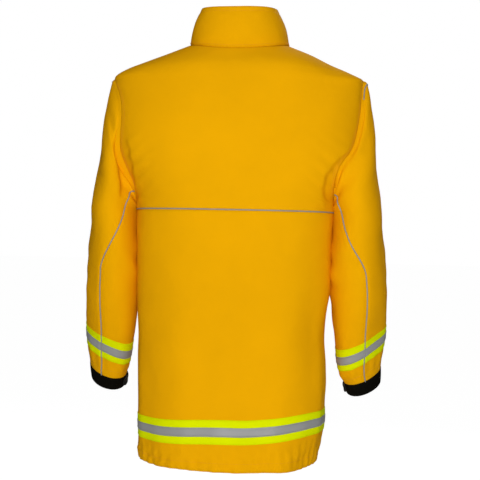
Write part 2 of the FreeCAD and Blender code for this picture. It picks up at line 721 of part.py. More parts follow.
def pouch(edges, frame, width, depth):
    """A bellows pouch with an open mouth, and the strip that its flap hangs from."""
    inner_x, outer_x, top, bottom = edges
    wall = size("pocket_wall")
    drop = bottom - top
    side = size("flap_side")
    outside = box_between(Vector(0, -depth, -drop), Vector(width, 4, 0))
    inside = box_between(Vector(wall, wall - depth, wall - drop), Vector(width - wall, 16, 5))
    front = -depth - size("flap_lift")
    rise = size("flap_strip_rise")
    thick = size("flap_sheet")
    hinge = 3.4
    profile_points = [(front - thick, hinge), (front, hinge), (3, rise - thick), (3, rise)]
    corners = [Vector(-side, y, z) for y, z in profile_points]
    strip = Part.Face(Part.makePolygon(corners + corners[:1])).extrude(Vector(width + 2 * side, 0, 0))
    rows = front_rows(spread(-bottom - 20, -top + 60, 8), inner_x - 25, outer_x + 25, 11)
    coat = sheet_solid(body_point, rows, 0.3, -24)
    pieces = []
    for piece in (outside.cut(inside), strip):
        piece.Placement = frame
        pieces.append(piece.cut(coat))
    return Part.makeCompound(pieces)


def make_pocket(name, edges, depth, height, both):
    """A pouch, its flap and the loop patch that the flap closes on."""
    frame, width = pocket_frame(*edges)
    shape = pouch(edges, frame, width, size(depth))
    patch = box_between(Vector(12, -size(depth) - 1.1, -46), Vector(width - 12, -size(depth) - 0.1, -26))
    patch.Placement = frame
    sides = [("left_" if both else "", frame, shape)]
    if both:
        sides.append(("right_", mirrored_frame(frame, width), mirror_x(shape)))
    for prefix, place, solid in sides:
        add_feature(prefix + name, solid)
        make_flap(prefix + name + "_flap", place, width, size(depth), height)
    return [patch, mirror_x(patch)] if both else [patch]


def make_flap(label, frame, width, depth, height):
    """A stiff flap with clipped corners that hangs in front of the pouch."""
    side = size("flap_side")
    tall = size(height)
    clip = 14
    front = -depth - size("flap_lift")
    body = new_body(label, frame)
    sketch = new_sketch(body, label + "_outline", "XZ_Plane", -front)
    draw_outline(sketch, [(-side, 3), (-side, clip - tall), (clip - side, -tall),
                          (width + side - clip, -tall), (width + side, clip - tall), (width + side, 3)])
    pad(body, sketch, "Dimensions.flap_sheet")


def make_pockets():
    hip = [size("pocket_" + end) for end in ("inner_edge", "outer_edge", "top", "bottom")]
    radio = [size("radio_" + end) for end in ("inner_edge", "outer_edge", "top", "bottom")]
    patches = make_pocket("hip_pocket", hip, "pocket_depth", "pocket_flap_height", True)
    patches += make_pocket("radio_pocket", radio, "radio_depth", "radio_flap_height", False)
    add_feature("pocket_loop_patches", Part.makeCompound(patches))
    rows = front_rows([-208, -202, -196], 98, 134, 5)
    add_feature("microphone_keeper", sheet_solid(body_point, rows, 3.2, 1.4))


# ---------------------------------------------------------------- build, check and write
def check_document():
    for item in doc.Objects:
        if {"Invalid", "Error"} & set(item.State):
            raise RuntimeError(f"{item.Label} did not compute: {item.State}")
    for node in nodes:
        shape = node.Shape
        if shape.isNull() or not shape.isValid() or not shape.Solids or shape.Volume <= 0:
            raise RuntimeError(f"{node.Label} is not a valid solid")


def write_parts():
    os.makedirs("parts", exist_ok=True)
    for name in os.listdir("parts"):
        os.remove(os.path.join("parts", name))
    for node in nodes:
        node.Shape.exportStep(f"parts/{node.Label}.step")


def main():
    make_panels()
    make_collar()
    make_hang_loop()
    make_trim()
    make_piping()
    make_sleeves()
    make_wrist_tabs()
    make_pockets()
    make_zipper()
    make_pull(*make_slider())
    make_storm_flap()
    make_collar_tab()
    doc.recompute()
    check_document()
    write_parts()
    print(len(nodes), "sub-parts")


main()
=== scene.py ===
"""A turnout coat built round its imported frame: cloth, tape, piping, pockets, zipper and studio.

Metres. +Z is up, the coat faces -Y and the wearer's left side is +X. The origin is the middle of
the neckline. Every cloth piece lies on one of three surfaces (body, collar, arm), so that panels,
tape, piping and stitches share the same folds.
"""
import math

import bpy
import numpy as np
from bpy.props import FloatProperty, FloatVectorProperty, PointerProperty
from mathutils import Matrix, Vector
from mathutils.bvhtree import BVHTree


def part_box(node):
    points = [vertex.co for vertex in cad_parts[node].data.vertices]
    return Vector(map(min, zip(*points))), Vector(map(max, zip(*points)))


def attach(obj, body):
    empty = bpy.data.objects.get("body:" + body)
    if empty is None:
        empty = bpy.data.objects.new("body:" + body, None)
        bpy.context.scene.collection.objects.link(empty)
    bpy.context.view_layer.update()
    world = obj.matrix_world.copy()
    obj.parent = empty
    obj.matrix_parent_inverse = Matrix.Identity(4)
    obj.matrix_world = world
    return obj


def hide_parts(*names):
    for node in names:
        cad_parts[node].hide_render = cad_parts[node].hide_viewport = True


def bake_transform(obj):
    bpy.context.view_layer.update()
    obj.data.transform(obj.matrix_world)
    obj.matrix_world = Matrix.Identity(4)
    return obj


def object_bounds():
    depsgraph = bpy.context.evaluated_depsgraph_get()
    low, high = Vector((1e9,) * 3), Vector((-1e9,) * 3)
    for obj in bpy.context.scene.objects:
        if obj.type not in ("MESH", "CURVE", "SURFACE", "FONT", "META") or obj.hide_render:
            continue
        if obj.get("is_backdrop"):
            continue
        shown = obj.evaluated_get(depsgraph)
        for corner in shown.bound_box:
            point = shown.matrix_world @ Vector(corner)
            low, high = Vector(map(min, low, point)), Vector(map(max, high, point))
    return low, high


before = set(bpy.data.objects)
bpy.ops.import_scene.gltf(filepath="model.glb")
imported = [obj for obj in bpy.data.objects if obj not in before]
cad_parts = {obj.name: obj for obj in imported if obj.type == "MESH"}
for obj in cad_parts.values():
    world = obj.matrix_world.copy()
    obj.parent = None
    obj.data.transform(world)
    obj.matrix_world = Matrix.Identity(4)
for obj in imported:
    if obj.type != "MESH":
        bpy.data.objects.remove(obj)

bl_info = {
    "name": "Turnout coat",
    "version": (1, 0, 0),
    "blender": (4, 5, 0),
    "location": "View3D > Sidebar > Coat",
    "description": "Builds a golden turnout coat with reflective trim round its packed frame",
    "category": "Object",
}

MM = 0.001
SIDES = (("left", 1), ("right", -1))

# ---------------------------------------------------------------- sizes and colours
def metres(name, description, value):
    return FloatProperty(name=name, description=description, default=value, unit="LENGTH")


def colour(name, description, value):
    return FloatVectorProperty(name=name, description=description, subtype="COLOR", size=3, min=0, max=1,
                               default=value)


class CoatSizes(bpy.types.PropertyGroup):
    """Sizes of the cloth and its details that a maker would change."""

    cloth: metres("Cloth", "Thickness of the outer shell", 0.0019)
    cell: metres("Mesh cell", "Size of one mesh face on the large panels", 0.0048)
    drape: metres("Drape", "Height of the soft folds of the body", 0.0030)
    pleat: metres("Pleat", "Height of the folds beside the armholes", 0.0060)
    stitch_pitch: metres("Stitch pitch", "Distance from one stitch to the next", 0.0032)
    stitch_length: metres("Stitch length", "Length of thread that shows in one stitch", 0.0025)
    stitch_width: metres("Thread", "Width of the sewing thread", 0.0007)
    tooth_pitch: metres("Tooth pitch", "Distance between the zipper's teeth", 0.0032)
    piping: metres("Piping", "Radius of the reflective piping", 0.0013)


class CoatColours(bpy.types.PropertyGroup):
    """Colours of the coat's finishes, as linear values."""

    cotton: colour("Cotton", "Golden flame-resistant cotton of the shell", (0.86, 0.405, 0.0))
    thread: colour("Thread", "Sewing thread on the shell", (0.80, 0.33, 0.004))
    lime: colour("Lime", "Fluorescent tape", (0.75, 0.85, 0.0))
    silver: colour("Silver", "Retro-reflective tape and piping", (0.305, 0.31, 0.305))
    black: colour("Black", "Lining, knit and webbing", (0.0055, 0.0050, 0.0035))
    brass: colour("Brass", "Zipper teeth, slider and pull", (0.55, 0.38, 0.14))


class StageSettings(bpy.types.PropertyGroup):
    """The studio round the coat."""

    distance: metres("Camera distance", "From the camera to the coat's upright axis", 2.64)
    azimuth: FloatProperty(name="Azimuth", description="The camera's angle round the coat, 0 in front",
                           default=math.radians(186.5), subtype="ANGLE")
    eye_level: metres("Eye level", "The camera's height", -0.402)
    lens: FloatProperty(name="Lens", description="Focal length", default=92.1)
    roll: FloatProperty(name="Roll", description="The camera's turn about its line of sight",
                        default=math.radians(1.3), subtype="ANGLE")
    air: FloatProperty(name="Air light", description="Strength of the light from all round", default=0.08)
    floor_gap: metres("Floor gap", "From the hem down to the floor", 0.55)


# ---------------------------------------------------------------- the body's surface
HEM, WAIST, ARMPIT, ARM_MIDDLE, TIP, CORNER, NECK = np.array(
    [-868, -555.52, -318, -200.34, -60, -38, 15]) * MM
LEVELS = np.array([HEM, WAIST, ARMPIT, ARM_MIDDLE, TIP, CORNER, NECK])
HALF_WIDTH = np.array([196, 207, 212, 262, 270, 243, 107]) * MM
BACK_DEPTH = np.array([128, 120, 132, 130, 112, 107, 78]) * MM
BACK_DIP = np.array([17, 0, 0, 0, 0, 2, 15]) * MM
FRONT_DIP = np.array([17, 0, 0, 20, 80, 85, 90]) * MM
SIDE_SHIFT = np.array([-12, -6, 0, 0, 0, 0, -6]) * MM
ROUNDNESS = np.array([2.5, 2.5, 2.5, 2.5, 2.1, 2.1, 2.0])
FRONT_ROUNDNESS = 3.0
NECK_FRONT = Vector((0, -0.095, -0.075))
FRONT_SLOPE = 0.077778
YOKE_SEAM = -0.340
FRONT_YOKE_SEAM = -0.250
OPENING_EDGE = 0.009
MEAN_RADIUS = 0.19
TINY = 1e-5


def matched(*values):
    """The values as float arrays of one shape."""
    return np.broadcast_arrays(*[np.asarray(value, float) for value in values])


def unit(way, least=1e-12):
    return way / np.maximum(np.linalg.norm(way, axis=-1, keepdims=True), least)


def mirrored(place, side):
    """The place itself for the left side, 1, and its mirror image for the right side, -1."""
    return place * np.array([side, 1, 1])


def facing(place, first, second):
    """A place on a surface, and the way that the surface faces there."""
    across = place(first + TINY, second) - place(first - TINY, second)
    up = place(first, second + TINY) - place(first, second - TINY)
    return place(first, second), unit(np.cross(across, up), 1e-20)


def glide(places, values, at):
    """Monotone cubic through the values, so that no profile bulges between its keys."""
    at = np.clip(at, places[0], places[-1])
    steps = np.diff(places)
    slopes = np.diff(values) / steps
    before, after = slopes[:-1], slopes[1:]
    total = np.where(before + after == 0, 1, before + after)
    turns = np.where(before * after <= 0, 0, 2 * before * after / total)
    tangents = np.concatenate([slopes[:1], turns, slopes[-1:]])
    i = np.clip(np.searchsorted(places, at, side="right") - 1, 0, len(steps) - 1)
    u = (at - places[i]) / steps[i]
    leave = u * (1 - u) ** 2 * steps[i] * tangents[i]
    arrive = u * u * (u - 1) * steps[i] * tangents[i + 1]
    return values[i] + (values[i + 1] - values[i]) * u * u * (3 - 2 * u) + leave + arrive


def smooth(value, low, high):
    """0 below low, 1 above high, with a soft turn between."""
    t = np.clip((value - low) / (high - low), 0, 1)
    return t * t * (3 - 2 * t)


def bump(value, middle, reach):
    """1 at the middle, falling softly to nothing; reach is the half width at 60 %."""
    return np.exp(-((value - middle) / reach) ** 2 / 2)


def front_depth(height):
    """How far in front of the coat's upright axis the opening lies."""
    return -NECK_FRONT.y + FRONT_SLOPE * (NECK_FRONT.z - height)


def ring_xy(angle, half_width, depth, roundness):
    """A rounded box's outline at an angle, as distances from its middle; 2 is an ellipse."""
    c, s = np.abs(np.cos(angle)), np.abs(np.sin(angle))
    reach = (c ** roundness + s ** roundness) ** (-1 / roundness)
    return half_width * c * reach, depth * s * reach


def body_base(angle, height):
    """The unfolded body: angle 0 is the left side, pi/2 the back, -pi/2 the front opening."""
    angle, height = matched(angle, height)
    sine = np.sin(angle)
    side = glide(LEVELS, SIDE_SHIFT, height)
    behind = sine >= 0
    dip = np.where(behind, glide(LEVELS, BACK_DIP, height), glide(LEVELS, FRONT_DIP, height))
    depth = np.where(behind, glide(LEVELS, BACK_DEPTH, height) - side, front_depth(height - dip) + side)
    roundness = np.where(behind, glide(LEVELS, ROUNDNESS, height), FRONT_ROUNDNESS)
    x, y = ring_xy(angle, glide(LEVELS, HALF_WIDTH, height), depth, roundness)
    x, y = np.copysign(x, np.cos(angle)), np.copysign(y, sine)
    return np.stack([x, side + y, height - dip * sine ** 2], -1)


def solve_angle(wanted, measure, low, high, height):
    """Bisection for the angle at which a measure that changes one way meets the wanted value."""
    low = np.full_like(height, low)
    high = np.full_like(height, high)
    rising = measure(high, height) > measure(low, height)
    for _ in range(40):
        middle = (low + high) / 2
        under = (measure(middle, height) < wanted) == rising
        low = np.where(under, middle, low)
        high = np.where(under, high, middle)
    return (low + high) / 2


def front_angle(x, height):
    """The angle on the left front at which the surface is x from the opening's middle."""
    height = np.asarray(height, float)
    return solve_angle(x, lambda a, h: body_base(a, h)[..., 0], -math.pi / 2, 0.0, height)


ARMHOLE_MIDDLE = (ARMPIT + TIP) / 2
ARMHOLE_REACH = (TIP - ARMPIT) / 2
ARMHOLE_HALF_DEPTH = 0.074
ROUND_ARMHOLE = np.linspace(0, math.pi, 600)


def armhole_line(sign, beyond=0.0, cut=(1.0, 1.0, 1.0, 1.0, 1.0)):
    """The armhole's edge angle at places from the shoulder tip, round, down to the armpit.

    cut scales the armhole's half depth at five places on the way down.
    """
    heights = ARMHOLE_MIDDLE + (ARMHOLE_REACH + beyond) * np.cos(ROUND_ARMHOLE)
    depth = ARMHOLE_HALF_DEPTH * glide(np.radians([0, 60, 90, 120, 180]), np.array(cut), ROUND_ARMHOLE)
    wanted = (depth + beyond) * np.sin(ROUND_ARMHOLE)

    def half_depth(angle, height):
        return np.abs(body_base(sign * angle, height)[..., 1])

    return sign * solve_angle(wanted, half_depth, 0.0, math.radians(80), heights)


ALLOWANCE = 0.010
LINING = (-0.0034, -0.0044)
BACK_CUT = {1: (0.90, 0.94, 0.87, 0.80, 0.95), -1: (0.42, 0.46, 0.66, 1.04, 1.06)}
ARMHOLE_EDGE = {}
UNDER_EDGE = {}
for arm_side in (1, -1):
    ARMHOLE_EDGE[True, arm_side] = armhole_line(-1)
    ARMHOLE_EDGE[False, arm_side] = armhole_line(1, 0.0, BACK_CUT[arm_side])
    UNDER_EDGE[True, arm_side] = armhole_line(-1, ALLOWANCE)
    UNDER_EDGE[False, arm_side] = armhole_line(1, ALLOWANCE, BACK_CUT[arm_side])


def armhole_angle(height, front, side=1):
    """The armhole's edge at a height: 0 under the armpit and on top of the shoulder."""
    turn = np.arccos(np.clip((np.asarray(height, float) - ARMHOLE_MIDDLE) / ARMHOLE_REACH, -1, 1))
    return np.interp(turn, ROUND_ARMHOLE, ARMHOLE_EDGE[front, side])


def wrinkles(p, scale, seed):
    """Slow smooth noise: a few sine waves in fixed directions."""
    rng = np.random.default_rng(seed)
    total = np.zeros(p.shape[:-1])
    for _ in range(7):
        way = rng.normal(size=3)
        way /= np.linalg.norm(way)
        total += np.sin(p @ way * 2 * math.pi / (scale * rng.uniform(0.7, 1.5)) + rng.uniform(0, 6.28))
    return total / 4


def line_gap(x, z, points):
    """Signed distance in the x-z plane from a bent line, and how far along it the nearest place is."""
    best = np.full(np.shape(x), 1e3)
    signed = np.full(np.shape(x), 1e3)
    along = np.zeros(np.shape(x))
    runs = list(zip(points, points[1:]))
    for k, ((x0, z0), (x1, z1)) in enumerate(runs):
        dx, dz = x1 - x0, z1 - z0
        t = np.clip(((x - x0) * dx + (z - z0) * dz) / (dx * dx + dz * dz), 0, 1)
        px, pz = x - (x0 + t * dx), z - (z0 + t * dz)
        gap = np.hypot(px, pz)
        side = np.sign(px * dz - pz * dx)
        nearer = gap < best
        signed = np.where(nearer, np.where(side == 0, 1, side) * gap, signed)
        along = np.where(nearer, (k + t) / len(runs), along)
        best = np.minimum(best, gap)
    return signed, along


RIGHT_PLEAT = [(-0.262, -0.196), (-0.243, -0.207), (-0.214, -0.230), (-0.193, -0.257), (-0.184, -0.288),
               (-0.187, -0.318), (-0.196, -0.350)]
LEFT_PLEAT = [(0.222, -0.185), (0.212, -0.215), (0.206, -0.255), (0.205, -0.322)]


def body_fold(p, angle, height):
    """How far the body's cloth stands off its plain surface, with the drape and the pleats."""
    sizes = bpy.context.scene.coat_sizes
    x, y, z = p[..., 0], p[..., 1], p[..., 2]
    quarter = math.pi / 2 - np.abs(np.abs(angle) - math.pi / 2)
    back_edge = np.where(np.cos(angle) >= 0, armhole_angle(height, False), armhole_angle(height, False, -1))
    edge = np.abs(np.where(np.sin(angle) >= 0, back_edge, armhole_angle(height, True)))
    in_arm = smooth(height, ARMPIT, ARMPIT + 0.03) * (1 - smooth(height, TIP - 0.02, TIP + 0.01))
    clear = 1 - in_arm * (1 - smooth((np.abs(quarter) - edge) * 0.17, 0.0, 0.030))
    clear = clear * (1 - smooth(height, NECK - 0.035, NECK - 0.004))
    round_way = angle * MEAN_RADIUS
    low = smooth(-height, 0.30, 0.84)
    fold = sizes.drape * (0.25 + 0.75 * low) * (
        0.55 * np.sin(round_way * 2 * math.pi / 0.173 + 1.1 + 1.6 * z)
        + 0.40 * np.sin(round_way * 2 * math.pi / 0.107 + 0.4 - 3.1 * z)
        + 0.18 * np.sin(round_way * 2 * math.pi / 0.061 + 2.0 + 5.0 * z) * low)
    fold = fold + 0.0011 * wrinkles(p, 0.16, 11) + 0.0006 * wrinkles(p, 0.07, 12)
    gathers = np.sin(round_way * 2 * math.pi / 0.021 + 9 * x) + 2.2 * wrinkles(p, 0.030, 13)
    fold = fold + 0.0010 * smooth(-height, 0.80, 0.858) * gathers
    behind = smooth(y, -0.01, 0.03)
    calm = np.where(np.sin(angle) < 0, smooth(np.abs(x), 0.052, 0.085), 1.0)
    fold = fold * clear * calm
    flank = smooth(-x, 0.12, 0.19)
    fold = fold - 0.0105 * flank * bump(z, -0.592, 0.050) - 0.0125 * flank * smooth(-z, 0.79, 0.885)
    slope = bump(height, -0.034, 0.034) * bump(np.abs(x), np.where(x < 0, 0.212, 0.185), 0.045)
    fold = fold - slope * np.where(x < 0, 0.0090, 0.0040)
    for points, side, tall in ((RIGHT_PLEAT, -1, 0.55), (LEFT_PLEAT, 1, 0.4)):
        gap, along = line_gap(x, z, points)
        outwards = -gap * side
        show = smooth(along, -0.05, 0.22) * (1 - smooth(along, 0.78, 1.0))
        inside = np.exp(-np.abs(outwards) / 0.022)
        outside = 1 - 1.7 * smooth(outwards, 0, 0.013) + 0.7 * smooth(outwards, 0.010, 0.034)
        ridge = np.where(outwards < 0, inside, outside)
        fold = fold + sizes.pleat * tall * show * ridge * behind * clear ** 0.4
    creases = bump(z, -0.262, 0.05) * smooth(np.abs(x), 0.13, 0.2)
    fold = fold + 0.0010 * creases * behind * np.sin((np.abs(x) * 0.8 + z) * 2 * math.pi / 0.034) * clear
    return fold


def hem_sway(x, height, sine):
    """How far the back's hem and trim ride up or sink, as the coat doesn't hang quite level."""
    trim = 0.008 * smooth(-x, 0.03, 0.19) - 0.012 * smooth(x, 0.0, 0.19)
    edge = 0.006 * (1 - smooth(np.abs(x), 0.07, 0.17))
    low = smooth(-height, 0.812, 0.866)
    return smooth(-height, 0.60, 0.76) * (trim * (1 - low) + edge * low) * smooth(sine, -0.6, 0.1)


def on_body(angle, height, offset=0.0, side=1):
    """A place on the folded body; side -1 is the mirror image, with its own folds."""
    angle, height = matched(angle, height)
    base, normal = [mirrored(part, side) for part in facing(body_base, angle, height)]
    own = angle if side > 0 else np.where(angle >= 0, math.pi - angle, -math.pi - angle)
    fold = body_fold(base, own, height) + offset
    place = base + normal * fold[..., None]
    place[..., 2] += hem_sway(base[..., 0], height, np.sin(angle))
    return place


# ---------------------------------------------------------------- the collar's surface
COLLAR_HEIGHT = 0.085
COLLAR_RADIUS = 0.09


def collar_base(angle, share):
    """The collar before it curves: angle as on the body, share 0 at the neck seam and 1 at the top."""
    angle, share = matched(angle, share)
    foot = body_base(angle, np.full(angle.shape, NECK))
    sine = np.sin(angle)
    behind = sine >= 0
    top_z = 0.0925 + (np.where(behind, 0.0885, 0.007) - 0.0925) * sine ** 2
    depth = np.where(behind, 0.066, front_depth(0.005))
    x, y = ring_xy(angle, 0.082, depth, np.where(behind, 2.0, FRONT_ROUNDNESS))
    top = np.stack([np.copysign(x, np.cos(angle)), np.copysign(y, sine), top_z], -1)
    lean = share * (0.55 + 0.45 * share)
    straight = np.where(behind, 0, np.abs(sine))
    lean = lean + (share - lean) * straight
    point = foot + (top - foot) * lean[..., None]
    point[..., 2] = foot[..., 2] + (top[..., 2] - foot[..., 2]) * share
    return point


def on_collar(angle, share, offset=0.0, side=1):
    """A place on the collar. Its side counts for nothing, and is there as on the other surfaces."""
    angle, share = matched(angle, share)
    base, normal = facing(collar_base, angle, share)
    fold = 0.0009 * np.sin(angle * 3.3 + 0.7) * share + 0.0005 * wrinkles(base, 0.05, 21)
    fold = fold * smooth(share, 0, 0.2) + 0.0018 * np.sin(np.clip(share, 0, 1) * math.pi)
    return base + normal * (fold + offset)[..., None]


# ---------------------------------------------------------------- the arm's surface
ARM_LEVELS = np.array([-721, -630, -525, -470, -415, -338]) * MM
ARM_X = np.array([277, 272.5, 267.5, 267, 266, 264]) * MM
ARM_Y = np.array([-97, -62, -20, -8, -3, -2]) * MM
ARM_LONG = np.array([50, 57, 62, 65, 70, 78]) * MM
ARM_SHORT = np.array([37, 44.5, 51, 51.5, 51, 49]) * MM
ARM_TURN = np.radians([148, 141, 115, 105, 97, 90])
ARM_LEAN_DEGREES = np.array([28, 20, 3, 0, 0, 0.0])
ARM_TILT_DEGREES = np.array([6, 21, 2, 0, 0, 0.0])
ARM_SEAM = np.array([78, 76, 72, 75, 95, 121.0])
FRONT_SEAM = math.radians(250)
CAP_FOOT = -0.338
CAP_RUN = 0.240
CAP_TOP = CAP_FOOT + CAP_RUN
SPLIT = -0.420
TUCK = 0.012


def tube_base(angle, level):
    """The left sleeve below the armpit: angle 0 is its outer side, pi/2 its back."""
    turn = angle - glide(ARM_LEVELS, ARM_TURN, level)
    reach = 1 / np.hypot(np.cos(turn) / glide(ARM_LEVELS, ARM_LONG, level),
                         np.sin(turn) / glide(ARM_LEVELS, ARM_SHORT, level))
    x, y = reach * np.cos(angle), reach * np.sin(angle)
    rise = x * np.tan(np.radians(glide(ARM_LEVELS, ARM_TILT_DEGREES, level)))
    fall = y * np.tan(np.radians(glide(ARM_LEVELS, ARM_LEAN_DEGREES, level)))
    return np.stack([glide(ARM_LEVELS, ARM_X, level) + x, glide(ARM_LEVELS, ARM_Y, level) + y,
                     level + rise - fall], -1)


def armhole_base(angle, side):
    """The armhole's edge on the body, from the shoulder tip at 0."""
    height = ARMHOLE_MIDDLE + ARMHOLE_REACH * np.cos(angle)
    edge = np.where(np.sin(angle) < 0, armhole_angle(height, True), armhole_angle(height, False, side))
    return body_base(edge, height)


def shaped_tube(angle, level, side):
    """The tube with each side's own girth and lean."""
    tube = tube_base(angle, level)
    middle = np.stack([glide(ARM_LEVELS, ARM_X, level), glide(ARM_LEVELS, ARM_Y, level), level], -1)
    tube = middle + (tube - middle) * glide(SHAPE_LEVELS, ARM_GIRTH[side], level)[..., None]
    tube[..., 0] += glide(SHAPE_LEVELS, ARM_SHIFT[side], level)
    tube[..., 2] += ARM_RISE[side] * smooth(-level, 0.5, 0.6) * (1 + 0.6 * np.cos(angle))
    return tube


def cap_base(angle, share, side):
    """The sleeve's head, which runs in a curve from its foot at share 0 to the armhole at 1."""
    low = shaped_tube(angle, np.full(angle.shape, CAP_FOOT), side)
    high = armhole_base(angle, side) + np.array([0.0035, 0, 0])
    knee = np.stack([high[..., 0] + 0.42 * (low[..., 0] - high[..., 0]), (high[..., 1] + low[..., 1]) / 2,
                     high[..., 2] + 0.15 * (low[..., 2] - high[..., 2])], -1)
    s = share[..., None]
    return low * (1 - s) ** 2 + knee * (2 * s * (1 - s)) + high * s ** 2


def under_edge(angle, share, side):
    """The sleeve's seam allowance, tucked under the body panels round the armhole."""
    front = np.sin(angle) < 0
    turn = np.abs((angle + math.pi) % (2 * math.pi) - math.pi)
    height = ARMHOLE_MIDDLE + (ARMHOLE_REACH + ALLOWANCE * share) * np.cos(turn)
    places = []
    for is_front in (True, False):
        near = np.interp(turn, ROUND_ARMHOLE, ARMHOLE_EDGE[is_front, side])
        far = np.interp(turn, ROUND_ARMHOLE, UNDER_EDGE[is_front, side])
        place, normal = facing(body_base, near + (far - near) * share, height)
        places.append(place + normal * LINING[0])
    return np.where(front[..., None], places[0], places[1])


SHAPE_LEVELS = np.array([-721, -700, -666, -622, -578, -512, -450, -338]) * MM
ARM_SHIFT = {1: np.array([14, 14, 12, 8.5, 4, -1, -3, -1]) * MM,
             -1: np.array([4, 3, -2, -1, -0.5, -1.5, -3.5, -4]) * MM}
ARM_GIRTH = {1: np.array([0.85, 0.87, 0.96, 1.03, 1.10, 1.11, 1.09, 1.02]),
             -1: np.array([0.78, 0.80, 0.94, 1.01, 1.07, 1.13, 1.14, 1.05])}
ARM_RISE = {1: 0.0, -1: 0.004}


def arm_base(angle, level, side=1):
    """The whole sleeve, as a left one. Levels are heights to the cap's foot, and run on to the armhole."""
    angle, level = matched(angle, level)
    share = np.clip((level - CAP_FOOT) / CAP_RUN, 0, 1)
    place = np.where((level > CAP_FOOT)[..., None], cap_base(angle, share, side),
                     shaped_tube(angle, np.minimum(level, CAP_FOOT), side))
    tuck = np.clip((level - CAP_TOP) / TUCK, 0, 1)
    over = smooth(tuck, 0, 0.45)[..., None]
    tucked = place * (1 - over) + under_edge(angle, tuck, side) * over
    return np.where((level > CAP_TOP)[..., None], tucked, place)


def arm_seam(level):
    """The angle of the back seam, with the piping, at a level."""
    level = np.asarray(level, float)
    low = glide(ARM_LEVELS, ARM_SEAM, level)
    return np.radians(np.where(level > CAP_FOOT, 121 + 36 * (level - CAP_FOOT) / CAP_RUN, low))


ARMPIT_CREASE = [(0.285, -0.120), (0.268, -0.175), (0.254, -0.228), (0.246, -0.256), (0.243, -0.285),
                 (0.242, -0.325)]


def arm_fold(p, angle, level, side):
    """How far the sleeve's cloth stands off its plain surface."""
    clear = (1 - smooth(level, CAP_TOP - 0.05, CAP_TOP)) * (1 - smooth(-level, 0.66, 0.695))
    turn = angle + (0.5 if side < 0 else 0.0)
    bend = bump(level, -0.462, 0.055)
    fold = 0.0030 * bend * np.sin((level + 0.02 * np.cos(turn * 2 + 0.6)) * 2 * math.pi / 0.052) \
        * (0.45 + 0.55 * np.cos(turn + 1.9))
    fold = fold + 0.0019 * np.sin(turn * 3 + 9 * level) * (0.4 + 0.6 * smooth(-level, 0.15, 0.4))
    fold = fold + 0.0024 * bump(level, -0.30, 0.07) * np.sin(turn * 2 + level * 2 * math.pi / 0.115)
    fold = fold + 0.0010 * wrinkles(p * np.array([1, 1, 0.8]), 0.10, 31) + 0.0005 * wrinkles(p, 0.045, 32)
    fold = fold + 0.0012 * bump(level, -0.672, 0.014) * np.sin(angle * 11 + 0.8 * side)
    if side > 0:
        gap, along = line_gap(p[..., 0], p[..., 2], ARMPIT_CREASE)
        show = smooth(along, 0.0, 0.45) * (1 - smooth(along, 0.88, 1.0)) * smooth(p[..., 1], 0.0, 0.03)
        crease = 0.0030 * np.exp(-np.abs(gap) / 0.018) - 0.0095 * smooth(gap, -0.001, 0.007) \
            * (1 - smooth(gap, 0.010, 0.026))
        fold = fold + crease * show
    hollow = bump(angle, 2.15, 0.55) * bump(level, -0.565, 0.100)
    fold = fold - (0.0075 if side > 0 else 0.0030) * hollow
    fold = fold + 0.0040 * bump(level + 0.06 * (angle - 2.0), -0.432, 0.020) * bump(angle, 2.2, 0.7)
    groove = 0.0048 * bump(level, CAP_TOP - 0.020, 0.026) * smooth(np.sin(angle), 0.1, 0.6)
    return fold * clear - groove


def on_arm(angle, level, offset=0.0, side=1):
    """A place on the folded sleeve of either side."""
    angle, level = matched(angle, level)
    base, normal = facing(lambda a, h: arm_base(a, h, side), angle, level)
    fold = arm_fold(base, angle, level, side) + offset
    return mirrored(base + normal * fold[..., None], side)


# ---------------------------------------------------------------- making cloth meshes
FINISH = "_finish"


def finish(name):
    """A finish made here, which the frame's own plain material of the same name isn't."""
    return bpy.data.materials[name + FINISH]


def even(place, ends, low, high, cell, most=400):
    """Levels from low to high, spaced so that rows lie about one cell apart on the surface."""
    levels = np.linspace(low, high, 160)
    rows = [place(a, levels) for a in ends]
    step = np.max([np.linalg.norm(np.diff(r, axis=0), axis=-1) for r in rows], axis=0)
    run = np.concatenate([[0], np.cumsum(step)])
    count = int(min(most, max(3, round(run[-1] / cell) + 1)))
    return np.interp(np.linspace(0, run[-1], count), run, levels)


def finish_mesh(name, points, faces, uvs, material, attributes=None, sharp=None):
    """An object from plain arrays, with faces turned outwards, UVs in metres and smooth shading."""
    faces = np.asarray(faces)
    corners = points[faces]
    volume = np.einsum("ij,ij->i", corners[:, 0], np.cross(corners[:, 1], corners[:, 2])).sum()
    volume += np.einsum("ij,ij->i", corners[:, 0], np.cross(corners[:, 2], corners[:, 3])).sum()
    if volume < 0:
        faces = faces[:, ::-1]
        uvs = uvs[:, ::-1]
    mesh = bpy.data.meshes.new(name)
    mesh.from_pydata(points.tolist(), [], faces.tolist())
    layer = mesh.uv_layers.new(name="UVMap")
    layer.data.foreach_set("uv", uvs.reshape(-1).astype(np.float32))
    mesh.polygons.foreach_set("use_smooth", np.ones(len(faces), bool))
    for key, values in (attributes or {}).items():
        mesh.attributes.new(key, "FLOAT", "POINT").data.foreach_set("value", values.astype(np.float32))
    if sharp is not None and len(sharp):
        wanted = {tuple(sorted(pair)) for pair in sharp}
        flags = mesh.attributes.new("sharp_edge", "BOOLEAN", "EDGE")
        flags.data.foreach_set("value", [tuple(sorted(e.vertices)) in wanted for e in mesh.edges])
    mesh.materials.append(finish(material))
    mesh.validate()
    mesh.update()
    obj = bpy.data.objects.new(name, mesh)
    bpy.context.scene.collection.objects.link(obj)
    return obj


def run_lengths(points, axis=0):
    """How far each place lies along its row or column, from 0 at the start."""
    lengths = np.cumsum(np.linalg.norm(np.diff(points, axis=axis), axis=-1), axis)
    return np.concatenate([np.zeros_like(lengths.take([0], axis)), lengths], axis)


